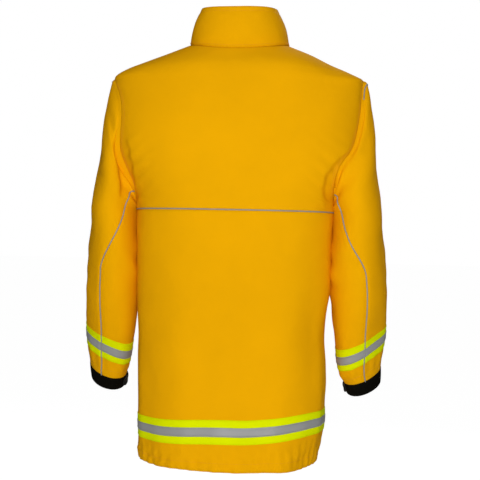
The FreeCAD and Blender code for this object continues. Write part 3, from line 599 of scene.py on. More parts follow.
def quads(cells):
    """The four corners of every cell of a grid."""
    return np.stack([cells[:-1, :-1], cells[:-1, 1:], cells[1:, 1:], cells[1:, :-1]], 2)


def cloth(name, outer, inner, material, ring=False, flat=(False, False)):
    """A closed piece of cloth from two grids of places, with rounded edges.

    flat says that the first or last row is cut square, where another piece carries on.
    """
    rows, cols = outer.shape[:2]
    points = [outer.reshape(-1, 3), inner.reshape(-1, 3)]
    count = rows * cols
    wide = np.concatenate([outer, outer[:, :1]], 1) if ring else outer
    u, v = run_lengths(wide, 1), run_lengths(wide, 0)
    far = np.full(v.shape, 1.0)
    border = np.minimum(far if flat[0] else v, far if flat[1] else v[-1:] - v)
    if not ring:
        border = np.minimum(border, np.minimum(u, u[:, -1:] - u))
    uv = np.stack([u - u[:, -1:] / 2, np.broadcast_to(v.mean(1, keepdims=True), v.shape)], -1)
    ids = np.arange(count).reshape(rows, cols)
    if ring:
        ids = np.concatenate([ids, ids[:, :1]], 1)
    quad, quad_uv = quads(ids).reshape(-1, 4), quads(uv).reshape(-1, 4, 2)
    faces = [quad, quad[:, ::-1] + count]
    face_uvs = [quad_uv, quad_uv[:, ::-1]]
    sharp = []
    edge_dist = border[:, :cols].reshape(-1)
    attribute = [edge_dist, edge_dist]
    total = 2 * count

    def rim(loop_ids, loop_uv, middles):
        """Closes the edge between the grids: round a row of middles, or square where there is none."""
        nonlocal total
        ends = np.concatenate([loop_ids, loop_ids[:1]])
        rim_uv = np.stack([loop_uv[1:], loop_uv[:-1], loop_uv[:-1], loop_uv[1:]], 1)
        if middles is None:
            faces.append(np.stack([ends[1:], ends[:-1], ends[:-1] + count, ends[1:] + count], -1))
            face_uvs.append(rim_uv)
            sharp.extend(zip(ends[:-1], ends[1:]))
            sharp.extend(zip(ends[:-1] + count, ends[1:] + count))
            return
        mids = np.arange(len(loop_ids)) + total
        total += len(loop_ids)
        points.append(middles)
        attribute.append(np.zeros(len(middles)))
        mids = np.concatenate([mids, mids[:1]])
        faces.append(np.stack([ends[1:], ends[:-1], mids[:-1], mids[1:]], -1))
        faces.append(np.stack([mids[1:], mids[:-1], ends[:-1] + count, ends[1:] + count], -1))
        face_uvs.extend([rim_uv, rim_uv])

    middle = (outer + inner) / 2
    thick = np.linalg.norm(outer - inner, axis=-1, keepdims=True) * 0.48
    if ring:
        for row, inside, is_flat in ((0, 1, flat[0]), (-1, -2, flat[1])):
            order = ids[row, :cols] if row == 0 else ids[row, :cols][::-1]
            row_uv = uv[row] if row == 0 else uv[row][::-1]
            mids = None
            if not is_flat:
                mids = middle[row] + unit(middle[row] - middle[inside]) * thick[row]
                mids = mids if row == 0 else mids[::-1]
            if row == -1:
                order = np.concatenate([order[-1:], order[:-1]])
                mids = None if mids is None else np.concatenate([mids[-1:], mids[:-1]])
            rim(order, row_uv, mids)
    else:
        push = np.zeros_like(middle)
        push[0] += unit(middle[0] - middle[1])
        push[-1] += unit(middle[-1] - middle[-2])
        push[:, 0] += unit(middle[:, 0] - middle[:, 1])
        push[:, -1] += unit(middle[:, -1] - middle[:, -2])
        mids = middle + unit(push, 1) * thick
        path = [(0, j) for j in range(cols)] + [(i, cols - 1) for i in range(1, rows)]
        path += [(rows - 1, j) for j in range(cols - 2, -1, -1)] + [(i, 0) for i in range(rows - 2, 0, -1)]
        path = np.array(path)
        i, j = path[:, 0], path[:, 1]
        loop_uv = np.concatenate([uv[i, j], uv[i[:1], j[:1]]])
        rim(ids[i, j], loop_uv, mids[i, j])
    return finish_mesh(name, np.concatenate(points), np.concatenate(faces), np.concatenate(face_uvs),
                       material, {"edge_dist": np.concatenate(attribute)}, sharp)


def slab(name, place, angles, levels, outer, inner, material, side=1, **shape):
    """A piece of cloth between two heights over a surface."""
    return cloth(name, place(angles, levels, outer, side), place(angles, levels, inner, side), material,
                 **shape)


def tube(name, path, radius, up, material, sides=8):
    """A round cord of piping along a line of places; its ends are closed."""
    path = np.asarray(path)
    along = unit(np.gradient(path, axis=0))
    right = unit(np.cross(along, up))
    top = np.cross(right, along)
    path, right, top = [np.concatenate([row[:1], row, row[-1:]]) for row in (path, right, top)]
    radii = np.full(len(path), radius)
    radii[[0, -1]] = radius * 0.05
    turn = np.linspace(0, 2 * math.pi, sides, endpoint=False)
    rings = path[:, None] + (right[:, None] * np.cos(turn)[None, :, None]
                             + top[:, None] * np.sin(turn)[None, :, None]) * radii[:, None, None]
    rows = len(path)
    ids = np.arange(rows * sides).reshape(rows, sides)
    ids = np.concatenate([ids, ids[:, :1]], 1)
    uv = np.stack(np.broadcast_arrays(np.linspace(0, 2 * math.pi * radius, sides + 1)[None],
                                      run_lengths(path)[:, None]), -1)
    quad, quad_uv = quads(ids).reshape(-1, 4), quads(uv).reshape(-1, 4, 2)
    caps = []
    for row in (0, rows - 1):
        ring_ids = ids[row, :sides]
        for k in range(0, sides // 2 - 1):
            cap = [ring_ids[k], ring_ids[k + 1], ring_ids[sides - 2 - k], ring_ids[sides - 1 - k]]
            caps.append(cap if row else cap[::-1])
    faces = np.concatenate([quad, np.array(caps)])
    uvs = np.concatenate([quad_uv, np.zeros((len(caps), 4, 2))])
    return finish_mesh(name, rings.reshape(-1, 3), faces, uvs, material)


def cord(name, place, angles, levels, offset, side=1):
    """Piping along a line on a surface."""
    line = place(angles, levels, offset, side)
    up = place(angles, levels, offset + 0.001, side) - line
    return tube(name, line, bpy.context.scene.coat_sizes.piping, up, "silver_tape")


def join(name, pieces):
    """Several new pieces as one object."""
    target = pieces[0]
    with bpy.context.temp_override(active_object=target, selected_objects=pieces,
                                   selected_editable_objects=pieces):
        bpy.ops.object.join()
    target.name = name
    target.data.name = name
    return target


def settle(piece, body, slot, *nodes):
    """The piece rides on its body and stands for its CAD nodes. The slot is not used."""
    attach(piece, body)
    if nodes:
        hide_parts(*nodes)
    return piece


def bend_between(piece, bodies, ends, slot, *nodes):
    """The piece crosses from one body to another; its place is baked into its mesh and its CAD nodes are
    hidden, but nothing bends it between the two places.
    """
    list(bodies)
    [Vector(end) for end in ends]
    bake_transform(piece)
    if nodes:
        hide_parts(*nodes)


def grid(first, last, levels, cell, place):
    """Angles and levels for a panel between two edge angles, about one cell apart."""
    first, last = np.broadcast_to(first, levels.shape), np.broadcast_to(last, levels.shape)
    middle = len(levels) // 2
    run = place(np.linspace(first[middle], last[middle], 60), np.full(60, levels[middle]))
    length = np.linalg.norm(np.diff(run, axis=0), axis=-1).sum()
    share = np.linspace(0, 1, int(max(3, round(length / cell) + 1)))
    angles = first[:, None] + (last - first)[:, None] * share
    return angles, np.broadcast_to(levels[:, None], angles.shape)


def roll_in(angles, levels, place, reach=0.004, depth=0.0009):
    """How far the cloth dips into the seams round a panel's edge."""
    p = place(angles, levels)
    u, v = run_lengths(p, 1), run_lengths(p, 0)
    border = np.minimum(np.minimum(u, u[:, -1:] - u), np.minimum(v, v[-1:] - v))
    return -depth * (1 - smooth(border, 0, reach))


# ---------------------------------------------------------------- stitches
STITCHES = {}


def sew_points(body, line, up, material="coat_thread"):
    """Keeps a line of stitching for the stitch operator, with the way that it faces."""
    STITCHES.setdefault((body, material), []).append((line, np.broadcast_to(up, line.shape)))


def sew(body, place, angles, levels, offset=0.0002, side=1, material="coat_thread"):
    """Keeps a line of stitching on a surface."""
    angles, levels = matched(angles, levels)
    line = place(angles, levels, offset, side)
    up = place(angles, levels, offset + 0.001, side) - line
    sew_points(body, line, unit(up), material)


def node_socket(tree, name, kind, way="INPUT", default=None):
    socket = tree.interface.new_socket(name=name, in_out=way, socket_type=kind)
    if default is not None:
        socket.default_value = default
    return socket.identifier


def wire(tree, *links):
    """Links between nodes, each given as a node, its output, the next node and its input."""
    for source, output, target, socket in links:
        tree.links.new(source.outputs[output], target.inputs[socket])


def line_tree(name, inputs, axis):
    """Geometry nodes that set one shape after another along every line, with its axis along the line.

    The shape itself is added to what this gives: the tree, the keys of its inputs, the node of its
    inputs, the node that sets the shapes and the node that turns them.
    """
    tree = bpy.data.node_groups.new(name, "GeometryNodeTree")
    node_socket(tree, "Geometry", "NodeSocketGeometry")
    keys = {label: node_socket(tree, label, kind, default=default) for label, kind, default in inputs}
    keys["Material"] = node_socket(tree, "Material", "NodeSocketMaterial")
    node_socket(tree, "Geometry", "NodeSocketGeometry", "OUTPUT")
    start, end = tree.nodes.new("NodeGroupInput"), tree.nodes.new("NodeGroupOutput")
    curve = tree.nodes.new("GeometryNodeMeshToCurve")
    resample = tree.nodes.new("GeometryNodeResampleCurve")
    resample.mode = "LENGTH"
    tangent = tree.nodes.new("GeometryNodeInputTangent")
    turn = tree.nodes.new("FunctionNodeAlignRotationToVector")
    turn.axis = axis
    instance = tree.nodes.new("GeometryNodeInstanceOnPoints")
    realize = tree.nodes.new("GeometryNodeRealizeInstances")
    paint = tree.nodes.new("GeometryNodeSetMaterial")
    wire(tree, (start, "Geometry", curve, "Mesh"), (curve, "Curve", resample, "Curve"),
         (start, "Pitch", resample, "Length"), (resample, "Curve", instance, "Points"),
         (tangent, "Tangent", turn, "Vector"), (instance, "Instances", realize, "Geometry"),
         (realize, "Geometry", paint, "Geometry"), (start, "Material", paint, "Material"),
         (paint, "Geometry", end, "Geometry"))
    return tree, keys, start, instance, turn


def set_inputs(node, **values):
    for key, value in values.items():
        node.inputs[key].default_value = value


def stitch_tree():
    """Geometry nodes that lay one thread loop after another along every line they are given."""
    tree, keys, start, instance, turn = line_tree(
        "Stitch line", (("Pitch", "NodeSocketFloat", 0.0032), ("Length", "NodeSocketFloat", 0.0025),
                        ("Width", "NodeSocketFloat", 0.0007)), "X")
    thread = tree.nodes.new("GeometryNodeMeshUVSphere")
    set_inputs(thread, Segments=6, Rings=4, Radius=0.5)
    lay = tree.nodes.new("GeometryNodeTransform")
    set_inputs(lay, Rotation=(0, math.pi / 2, 0))
    shape = tree.nodes.new("ShaderNodeCombineXYZ")
    face = tree.nodes.new("GeometryNodeInputNamedAttribute")
    face.data_type = "FLOAT_VECTOR"
    set_inputs(face, Name="up")
    tip = tree.nodes.new("FunctionNodeAlignRotationToVector")
    tip.axis = "Z"
    tip.pivot_axis = "X"
    wire(tree, (thread, "Mesh", lay, "Geometry"), (lay, "Geometry", instance, "Instance"),
         (turn, "Rotation", tip, "Rotation"), (face, "Attribute", tip, "Vector"),
         (tip, "Rotation", instance, "Rotation"), (start, "Length", shape, "X"), (start, "Width", shape, "Y"),
         (start, "Width", shape, "Z"), (shape, "Vector", instance, "Scale"))
    return tree, keys


def run_tree(name, source, tree, values, material):
    """A plain mesh object from a geometry-node tree on a source mesh."""
    obj = bpy.data.objects.new(name, source)
    bpy.context.scene.collection.objects.link(obj)
    modifier = obj.modifiers.new("Build", "NODES")
    modifier.node_group = tree
    for key, value in values.items():
        modifier[key] = value
    made = bpy.data.meshes.new_from_object(obj.evaluated_get(bpy.context.evaluated_depsgraph_get()))
    obj.modifiers.remove(modifier)
    obj.data = made
    made.name = name
    if not made.polygons:
        raise RuntimeError(f"{name} came out empty")
    made.materials.clear()
    made.materials.append(finish(material))
    made.polygons.foreach_set("material_index", np.zeros(len(made.polygons), np.int32))
    made.polygons.foreach_set("use_smooth", np.ones(len(made.polygons), bool))
    made.update()
    return obj


# ---------------------------------------------------------------- materials
def shader_group(name, inputs, outputs):
    """An empty shader group with its sockets."""
    tree = bpy.data.node_groups.new(name, "ShaderNodeTree")
    for label, kind, default in inputs:
        node_socket(tree, label, kind, default=default)
    for label, kind in outputs:
        node_socket(tree, label, kind, "OUTPUT")
    return tree, tree.nodes.new("NodeGroupInput"), tree.nodes.new("NodeGroupOutput")


def math_node(tree, operation, first, second=None, third=None):
    node = tree.nodes.new("ShaderNodeMath")
    node.operation = operation
    for index, value in enumerate((first, second, third)):
        if value is None:
            continue
        if isinstance(value, (int, float)):
            node.inputs[index].default_value = value
        else:
            tree.links.new(value, node.inputs[index])
    return node.outputs[0]


def build_weave_group():
    """Woven threads: a height for bump and a mask of thread tops, from coordinates in metres."""
    tree, start, end = shader_group(
        "Cloth weave",
        [("Vector", "NodeSocketVector", None), ("Threads", "NodeSocketFloat", 1500.0),
         ("Twill", "NodeSocketFloat", 0.5)],
        [("Height", "NodeSocketFloat"), ("Tops", "NodeSocketFloat")])
    split = tree.nodes.new("ShaderNodeSeparateXYZ")
    tree.links.new(start.outputs["Vector"], split.inputs[0])
    x = math_node(tree, "MULTIPLY", split.outputs["X"], start.outputs["Threads"])
    y = math_node(tree, "MULTIPLY", split.outputs["Y"], start.outputs["Threads"])
    slant = math_node(tree, "MULTIPLY", y, start.outputs["Twill"])
    warp = math_node(tree, "SINE", math_node(tree, "MULTIPLY", math_node(tree, "ADD", x, slant), 2 * math.pi))
    weft = math_node(tree, "SINE", math_node(tree, "MULTIPLY", y, 2 * math.pi))
    height = math_node(tree, "ADD", math_node(tree, "MULTIPLY", warp, 0.35),
                       math_node(tree, "MULTIPLY", weft, 0.15))
    height = math_node(tree, "ADD", height, 0.5)
    tree.links.new(height, end.inputs["Height"])
    tree.links.new(math_node(tree, "POWER", height, 2.0), end.inputs["Tops"])
    return tree


def build_variation_group():
    """Slow and fine unevenness of dyed cloth, as a tint mask and a height of small creases."""
    tree, start, end = shader_group(
        "Cloth variation",
        [("Vector", "NodeSocketVector", None), ("Scale", "NodeSocketFloat", 6.0),
         ("Crease", "NodeSocketFloat", 60.0)],
        [("Tint", "NodeSocketFloat"), ("Fine", "NodeSocketFloat"), ("Creases", "NodeSocketFloat")])
    for output, socket, detail, times in (("Tint", "Scale", 3.0, 1.0), ("Fine", "Scale", 6.0, 22.0),
                                          ("Creases", "Crease", 4.0, 1.0)):
        noise = tree.nodes.new("ShaderNodeTexNoise")
        tree.links.new(start.outputs["Vector"], noise.inputs["Vector"])
        tree.links.new(math_node(tree, "MULTIPLY", start.outputs[socket], times), noise.inputs["Scale"])
        set_inputs(noise, Detail=detail, Roughness=0.55)
        tree.links.new(noise.outputs["Fac"], end.inputs[output])
    return tree


def build_edge_group():
    """Seams and edges: a mask near a piece's border, broken up by noise, for pucker and wear."""
    tree, start, end = shader_group(
        "Edge wear",
        [("Vector", "NodeSocketVector", None), ("Reach", "NodeSocketFloat", 0.006),
         ("Pucker", "NodeSocketFloat", 160.0)],
        [("Mask", "NodeSocketFloat"), ("Pucker", "NodeSocketFloat")])
    edge = tree.nodes.new("ShaderNodeAttribute")
    edge.attribute_name = "edge_dist"
    near = tree.nodes.new("ShaderNodeMapRange")
    near.interpolation_type = "SMOOTHSTEP"
    tree.links.new(edge.outputs["Fac"], near.inputs["Value"])
    tree.links.new(start.outputs["Reach"], near.inputs["From Max"])
    near.inputs["To Min"].default_value = 1.0
    near.inputs["To Max"].default_value = 0.0
    noise = tree.nodes.new("ShaderNodeTexNoise")
    tree.links.new(start.outputs["Vector"], noise.inputs["Vector"])
    tree.links.new(start.outputs["Pucker"], noise.inputs["Scale"])
    noise.inputs["Detail"].default_value = 2.0
    broken = math_node(tree, "MULTIPLY", near.outputs[0], noise.outputs["Fac"])
    for output in ("Mask", "Pucker"):
        tree.links.new(broken, end.inputs[output])
    return tree


def place_group(material, group, vector, **values):
    """One of the shader groups in a material, with its own values."""
    node = material.node_tree.nodes.new("ShaderNodeGroup")
    node.node_tree = bpy.data.node_groups[group]
    material.node_tree.links.new(vector, node.inputs["Vector"])
    set_inputs(node, **values)
    return node


def new_material(name, roughness, **constants):
    """An empty material with its shader; every constant goes on the shader's own socket."""
    material = bpy.data.materials.new(name + FINISH)
    material.use_nodes = True
    shader = material.node_tree.nodes["Principled BSDF"]
    shader.inputs["Roughness"].default_value = roughness
    for key, value in constants.items():
        shader.inputs[key.replace("_", " ")].default_value = value
    return material, shader


def add_relief(tree, shader, height, strength):
    """Bump on the shader, from a height in metres."""
    relief = tree.nodes.new("ShaderNodeBump")
    set_inputs(relief, Distance=1.0, Strength=strength)
    tree.links.new(height, relief.inputs["Height"])
    tree.links.new(relief.outputs["Normal"], shader.inputs["Normal"])


def tone(base, factor):
    return tuple(min(1.0, c * factor) for c in base) + (1.0,)


def mix_colour(tree, factor, first, second):
    node = tree.nodes.new("ShaderNodeMix")
    node.data_type = "RGBA"
    for index, value in ((6, first), (7, second)):
        if isinstance(value, tuple):
            node.inputs[index].default_value = value
        else:
            tree.links.new(value, node.inputs[index])
    tree.links.new(factor, node.inputs[0])
    return node.outputs[2]


def cloth_material(name, base, roughness, threads, twill=0.5, weave=0.00006, crease=0.0006, dark=0.86,
                   light=1.05, worn=0.8, crease_scale=60.0, **constants):
    """Woven cloth: thread bump, small creases, uneven dye and edges that are worn or puckered."""
    material, shader = new_material(name, roughness, **constants)
    tree = material.node_tree
    place = tree.nodes.new("ShaderNodeTexCoord")
    uv, solid = place.outputs["UV"], place.outputs["Object"]
    threads_node = place_group(material, "Cloth weave", uv, Threads=threads, Twill=twill)
    vary = place_group(material, "Cloth variation", solid, Scale=6.0, Crease=crease_scale)
    edge = place_group(material, "Edge wear", solid, Reach=0.007)
    span = tree.nodes.new("ShaderNodeMapRange")
    tree.links.new(vary.outputs["Tint"], span.inputs["Value"])
    span.inputs["From Min"].default_value, span.inputs["From Max"].default_value = 0.30, 0.70
    colour_now = mix_colour(tree, span.outputs[0], tone(base, dark), tone(base, light))
    fleck = math_node(tree, "MULTIPLY", vary.outputs["Fine"], threads_node.outputs["Tops"])
    flecked = math_node(tree, "MULTIPLY", fleck, 0.35)
    colour_now = mix_colour(tree, flecked, colour_now, tone(base, light * 1.1))
    worn_share = math_node(tree, "MULTIPLY", edge.outputs["Mask"], 0.7)
    colour_now = mix_colour(tree, worn_share, colour_now, tone(base, worn))
    tree.links.new(colour_now, shader.inputs["Base Color"])
    rough = math_node(tree, "MULTIPLY_ADD", vary.outputs["Fine"], 0.12, roughness - 0.06)
    tree.links.new(rough, shader.inputs["Roughness"])
    height = math_node(tree, "MULTIPLY", threads_node.outputs["Height"], weave)
    height = math_node(tree, "MULTIPLY_ADD", vary.outputs["Creases"], crease, height)
    height = math_node(tree, "MULTIPLY_ADD", edge.outputs["Pucker"], 0.0005, height)
    add_relief(tree, shader, height, 1.0)


def metal_material(name, base, roughness):
    """Cast metal, unevenly polished."""
    material, shader = new_material(name, roughness, Metallic=1.0)
    tree = material.node_tree
    place = tree.nodes.new("ShaderNodeTexCoord")
    vary = place_group(material, "Cloth variation", place.outputs["Object"], Scale=90.0, Crease=700.0)
    colour_now = mix_colour(tree, vary.outputs["Tint"], tone(base, 0.7), tone(base, 1.15))
    tree.links.new(colour_now, shader.inputs["Base Color"])
    rough = math_node(tree, "MULTIPLY_ADD", vary.outputs["Fine"], 0.3, roughness - 0.12)
    tree.links.new(rough, shader.inputs["Roughness"])
    add_relief(tree, shader, math_node(tree, "MULTIPLY", vary.outputs["Creases"], 0.00008), 0.6)


class COAT_OT_materials(bpy.types.Operator):
    """Build the finishes of cloth, tape, knit, webbing, thread and metal"""

    bl_idname = "coat.materials"
    bl_label = "Materials"

    def execute(self, context):
        tints = context.scene.coat_colours
        build_weave_group()
        build_variation_group()
        build_edge_group()
        black = tuple(tints.black)
        cloth_material("golden_cotton", tuple(tints.cotton), 0.88, 1400.0, crease=0.0007, dark=0.955,
                       light=1.02, worn=0.80, IOR=1.2, Specular_IOR_Level=0.2)
        cloth_material("coat_thread", tuple(tints.thread), 0.6, 3000.0, weave=0.00003, crease=0.0001,
                       dark=0.9, worn=0.9)
        cloth_material("black_thread", tone(black, 2.5)[:3], 0.6, 3000.0, weave=0.00003, crease=0.0001)
        cloth_material("lime_tape", tuple(tints.lime), 0.62, 1100.0, twill=0.0, weave=0.00004,
                       crease=0.00030, dark=0.95, light=1.03, worn=0.86, IOR=1.1, Specular_IOR_Level=0.1)
        cloth_material("silver_tape", tuple(tints.silver), 0.42, 2600.0, twill=1.0, weave=0.00002,
                       crease=0.00022, dark=0.9, light=1.08, worn=0.75, Specular_IOR_Level=0.55)
        cloth_material("black_lining", black, 0.75, 1800.0, crease=0.0006, dark=0.7, light=1.5, worn=1.6)
        cloth_material("black_knit", black, 0.9, 900.0, twill=0.0, weave=0.00016, crease=0.0003, dark=0.6,
                       light=1.3, worn=1.2, IOR=1.12, Specular_IOR_Level=0.1)
        cloth_material("black_webbing", black, 0.7, 700.0, twill=1.0, weave=0.0002, crease=0.0002, dark=0.7,
                       light=1.7, worn=1.5, IOR=1.3, Specular_IOR_Level=0.3)
        cloth_material("hook_and_loop", tone(black, 1.3)[:3], 0.95, 620.0, twill=0.0, weave=0.0004, dark=0.5,
                       light=2.2, worn=1.2, crease_scale=900.0, Specular_IOR_Level=0.2, Sheen_Weight=0.1)
        cloth_material("zipper_cloth", black, 0.8, 1300.0, twill=1.0, weave=0.0001, crease=0.0001,
                       light=1.6)
        metal_material("zipper_brass", tuple(tints.brass), 0.42)
        return {"FINISHED"}


# ---------------------------------------------------------------- body panels
SEAM = 0.0012
HEM_STITCH = 0.018


def back_edges(levels):
    """The angles of the back's left and right edges."""
    return armhole_angle(levels, False) + SEAM, math.pi - armhole_angle(levels, False, -1) - SEAM


def panel(name, first, last, levels, cell, side=1, seam_depth=0.0009, rise=None):
    """A shell panel of the body between two edge angles, dipping into its seams."""

    def place(angles, heights):
        return on_body(angles, heights, 0.0, side)

    thickness = bpy.context.scene.coat_sizes.cloth
    angles, heights = grid(first, last, levels, cell, place)
    dip = roll_in(angles, heights, place, depth=seam_depth)
    if rise is not None:
        dip = dip + rise(heights)
    return slab(name, on_body, angles, heights, dip, dip - thickness, "golden_cotton", side)


class COAT_OT_back(bpy.types.Operator):
    """Sew the back yoke and the lower back, with the yoke lining inside"""

    bl_idname = "coat.back"
    bl_label = "Back"

    def execute(self, context):
        sizes = context.scene.coat_sizes
        levels = even(body_base, (0.3, 1.2), HEM, YOKE_SEAM, sizes.cell)
        first, last = back_edges(levels)

        def hem_turn(heights):
            up = heights - HEM
            return -0.0006 * bump(up, HEM_STITCH, 0.0016) + 0.0004 * (1 - smooth(up, 0.014, 0.02))

        low = panel("lower_back_cloth", first, last, levels, sizes.cell, rise=hem_turn)
        settle(low, "coat", "shell_cloth", "lower_back")
        levels = even(body_base, (0.25, 0.7, 1.57), YOKE_SEAM, NECK, sizes.cell * 0.9)
        first, last = back_edges(levels)

        def overlap(heights):
            up = heights - YOKE_SEAM
            return 0.0010 * (1 - smooth(up, 0.004, 0.03)) - 0.0005 * bump(up, 0.0085, 0.0014)

        high = panel("back_yoke_cloth", first, last, levels, sizes.cell * 0.9, rise=overlap)
        settle(high, "coat", "shell_cloth", "back_yoke")
        levels = even(body_base, (0.5, 1.57), ARM_MIDDLE + 0.02, NECK - 0.008, 0.009)
        first, last = back_edges(levels)
        angles, heights = grid(first + 0.06, last - 0.06, levels, 0.009, on_body)
        lining = slab("yoke_lining_cloth", on_body, angles, heights, *LINING, "black_lining")
        settle(lining, "coat", "black_lining", "yoke_lining")
        run = np.linspace(0.03, math.pi - 0.03, 300)
        sew("coat", on_body, run, HEM + HEM_STITCH, -0.0004)
        sew("coat", on_body, run, YOKE_SEAM + 0.0085)
        for edge_gap in (0.008, 0.014):
            rows = np.linspace(ARMPIT + 0.012, TIP - 0.012, 120)
            edge, far = back_edges(rows)
            sew("coat", on_body, edge + edge_gap / MEAN_RADIUS, rows)
            sew("coat", on_body, far - edge_gap / MEAN_RADIUS, rows)
        return {"FINISHED"}


class COAT_OT_fronts(bpy.types.Operator):
    """Sew both fronts, their chest panels and the facings behind the zipper"""

    bl_idname = "coat.fronts"
    bl_label = "Fronts"

    def execute(self, context):
        sizes = context.scene.coat_sizes
        for name, side in SIDES:
            for piece, low, high, node in (("front_cloth", HEM, ARMPIT, "_front"),
                                           ("chest_panel_cloth", ARMPIT, NECK, "_chest_panel")):
                levels = even(body_base, (-0.3, -1.2), low, high, sizes.cell)
                start = front_angle(OPENING_EDGE, levels)
                stop = armhole_angle(levels, True) - SEAM
                made = panel(f"{name}_{piece}", start, stop, levels, sizes.cell, side, seam_depth=0.0005)
                settle(made, "coat", "shell_cloth", name + node)
            levels = even(body_base, (-1.3,), HEM + 0.004, NECK - 0.006, 0.008)
            start, stop = front_angle(0.024, levels), front_angle(0.066, levels)
            angles, heights = grid(start, stop, levels, 0.006, on_body)
            strip = slab(name + "_facing_cloth", on_body, angles, heights, *LINING, "black_lining", side)
            settle(strip, "coat", "black_lining", name + "_front_facing")
            rows = np.linspace(HEM + 0.01, NECK - 0.02, 260)
            sew("coat", on_body, front_angle(OPENING_EDGE + 0.006, rows), rows, side=side)
            run = np.linspace(-1.5, -0.05, 160)
            sew("coat", on_body, run, HEM + HEM_STITCH, side=side)
            rows = np.linspace(ARMPIT + 0.012, TIP - 0.03, 120)
            sew("coat", on_body, armhole_angle(rows, True) - 0.008 / MEAN_RADIUS, rows, side=side)
        return {"FINISHED"}


COLLAR_END = 0.010
COLLAR_STITCH = 0.0095


class COAT_OT_collar(bpy.types.Operator):
    """Shape the stand collar, its black lining and the webbing hang loop"""

    bl_idname = "coat.collar"
    bl_label = "Collar"

    def execute(self, context):
        for name, end_x, low, high, outer, inner, material, slot, node in (
                ("collar_cloth", COLLAR_END, 0.004, 1.0, 0.0, -0.0018, "golden_cotton", "shell_cloth",
                 "collar_shell"),
                ("collar_lining_cloth", 0.028, 0.02, 0.975, -0.0022, -0.0034, "black_lining", "black_lining",
                 "collar_lining")):
            start = float(front_angle(end_x, np.array([NECK]))[0])
            shares = np.linspace(low, high, 30)
            angles = np.linspace(start, math.pi - start, 170)
            heights, angles = np.meshgrid(shares, angles, indexing="ij")
            ends = (angles - start) * COLLAR_RADIUS
            ends = np.minimum(ends, (math.pi - start - angles) * COLLAR_RADIUS)
            border = np.minimum(ends, (1 - heights) * COLLAR_HEIGHT)
            round_in = 0.010 * np.clip(1 - ends / 0.012, 0, 1) ** 2
            groove = -0.0007 * bump(border, COLLAR_STITCH, 0.0014) if node == "collar_shell" else 0.0
            foot = -0.0010 * (1 - smooth(heights * COLLAR_HEIGHT, 0, 0.005))
            rounded = heights - round_in / COLLAR_HEIGHT * smooth(heights, 0.5, 1.0)
            made = slab(name, on_collar, angles, rounded, outer + groove + foot, inner + foot, material)
            settle(made, "coat", slot, node)
        start = float(front_angle(COLLAR_END, np.array([NECK]))[0])
        run = np.linspace(start + 0.1, math.pi - start - 0.1, 260)
        sew("coat", on_collar, run, 1 - COLLAR_STITCH / COLLAR_HEIGHT, -0.0006)
        sew("coat", on_collar, run, 0.06)
        self.make_hang_loop()
        return {"FINISHED"}

    def make_hang_loop(self):
        """A webbing strap with two sewn feet and a sagging arch between them."""
        low, high = [np.array(v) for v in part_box("hang_loop")]
        wide = (high[0] - low[0]) / 2
        share = np.linspace(-1, 1, 61)
        x = share * (wide - 0.0005)
        near = high[1] - 0.0006
        far = low[1] + 0.0012
        y = near + (far - near) * smooth(1 - np.abs(share), 0.12, 0.36)
        z = (low[2] + high[2]) / 2 - 0.0014 * np.cos(share * math.pi / 2)
        half = (high[2] - low[2]) / 2 * 0.86
        line = np.stack([x, y, z], -1)
        along = unit(np.gradient(line, axis=0))
        normal = np.stack([along[:, 1], -along[:, 0], np.zeros(len(x))], -1)
        rows = np.linspace(-half, half, 9)
        outer = line[None] + rows[:, None, None] * np.array([0, 0, 1]) + normal[None] * 0.0006
        inner = outer - normal[None] * 0.0012
        loop = cloth("hang_loop_webbing", outer, inner, "black_webbing")
        settle(loop, "coat", "black_webbing", "hang_loop")


# ---------------------------------------------------------------- tape and piping
BAND_TOP, BAND_RUN, BAND_RISE = 0.762, 0.123, 0.017
BAND_CELL = 0.0042


def band_height(drop):
    """The level of a band's edge, from how far it lies below the neckline at the sides of the coat."""
    return -drop + (drop - BAND_TOP) / BAND_RUN * BAND_RISE * 0.6


class COAT_OT_hem_trim(bpy.types.Operator):
    """Sew the lime and silver triple trim round the hem"""

    bl_idname = "coat.hem_trim"
    bl_label = "Hem trim"

    def execute(self, context):
        for name, top, width, rows, outer, inner, material, thread, node in (
                ("hem_trim_lime", BAND_TOP, 0.051, 15, 0.0010, 0.0001, "lime_tape", "lime_thread",
                 "hem_trim"),
                ("hem_trim_silver", 0.778, 0.019, 7, 0.0017, 0.0010, "silver_tape", "silver_thread",
                 "hem_trim_reflective")):
            levels = np.linspace(band_height(top + width), band_height(top), rows)
            first, last = back_edges(levels)
            angles, heights = grid(first - SEAM, last + SEAM, levels, BAND_CELL, on_body)
            dip = roll_in(angles, heights, on_body, reach=0.003, depth=0.00025)
            pieces = [slab("back_band", on_body, angles, heights, outer + dip, inner, material)]
            for _, side in SIDES:
                start, stop = front_angle(0.058, levels), armhole_angle(levels, True)
                angles, heights = grid(start, stop, levels, BAND_CELL, on_body)
                pieces.append(slab("front_band", on_body, angles, heights, outer, inner, material, side))
            settle(join(name, pieces), "coat", material, node)
            for level in (levels[0] + 0.0022, levels[-1] - 0.0022):
                sew("coat", on_body, np.linspace(0.01, math.pi - 0.01, 300), level, outer + 0.0001,
                    material=thread)
        return {"FINISHED"}


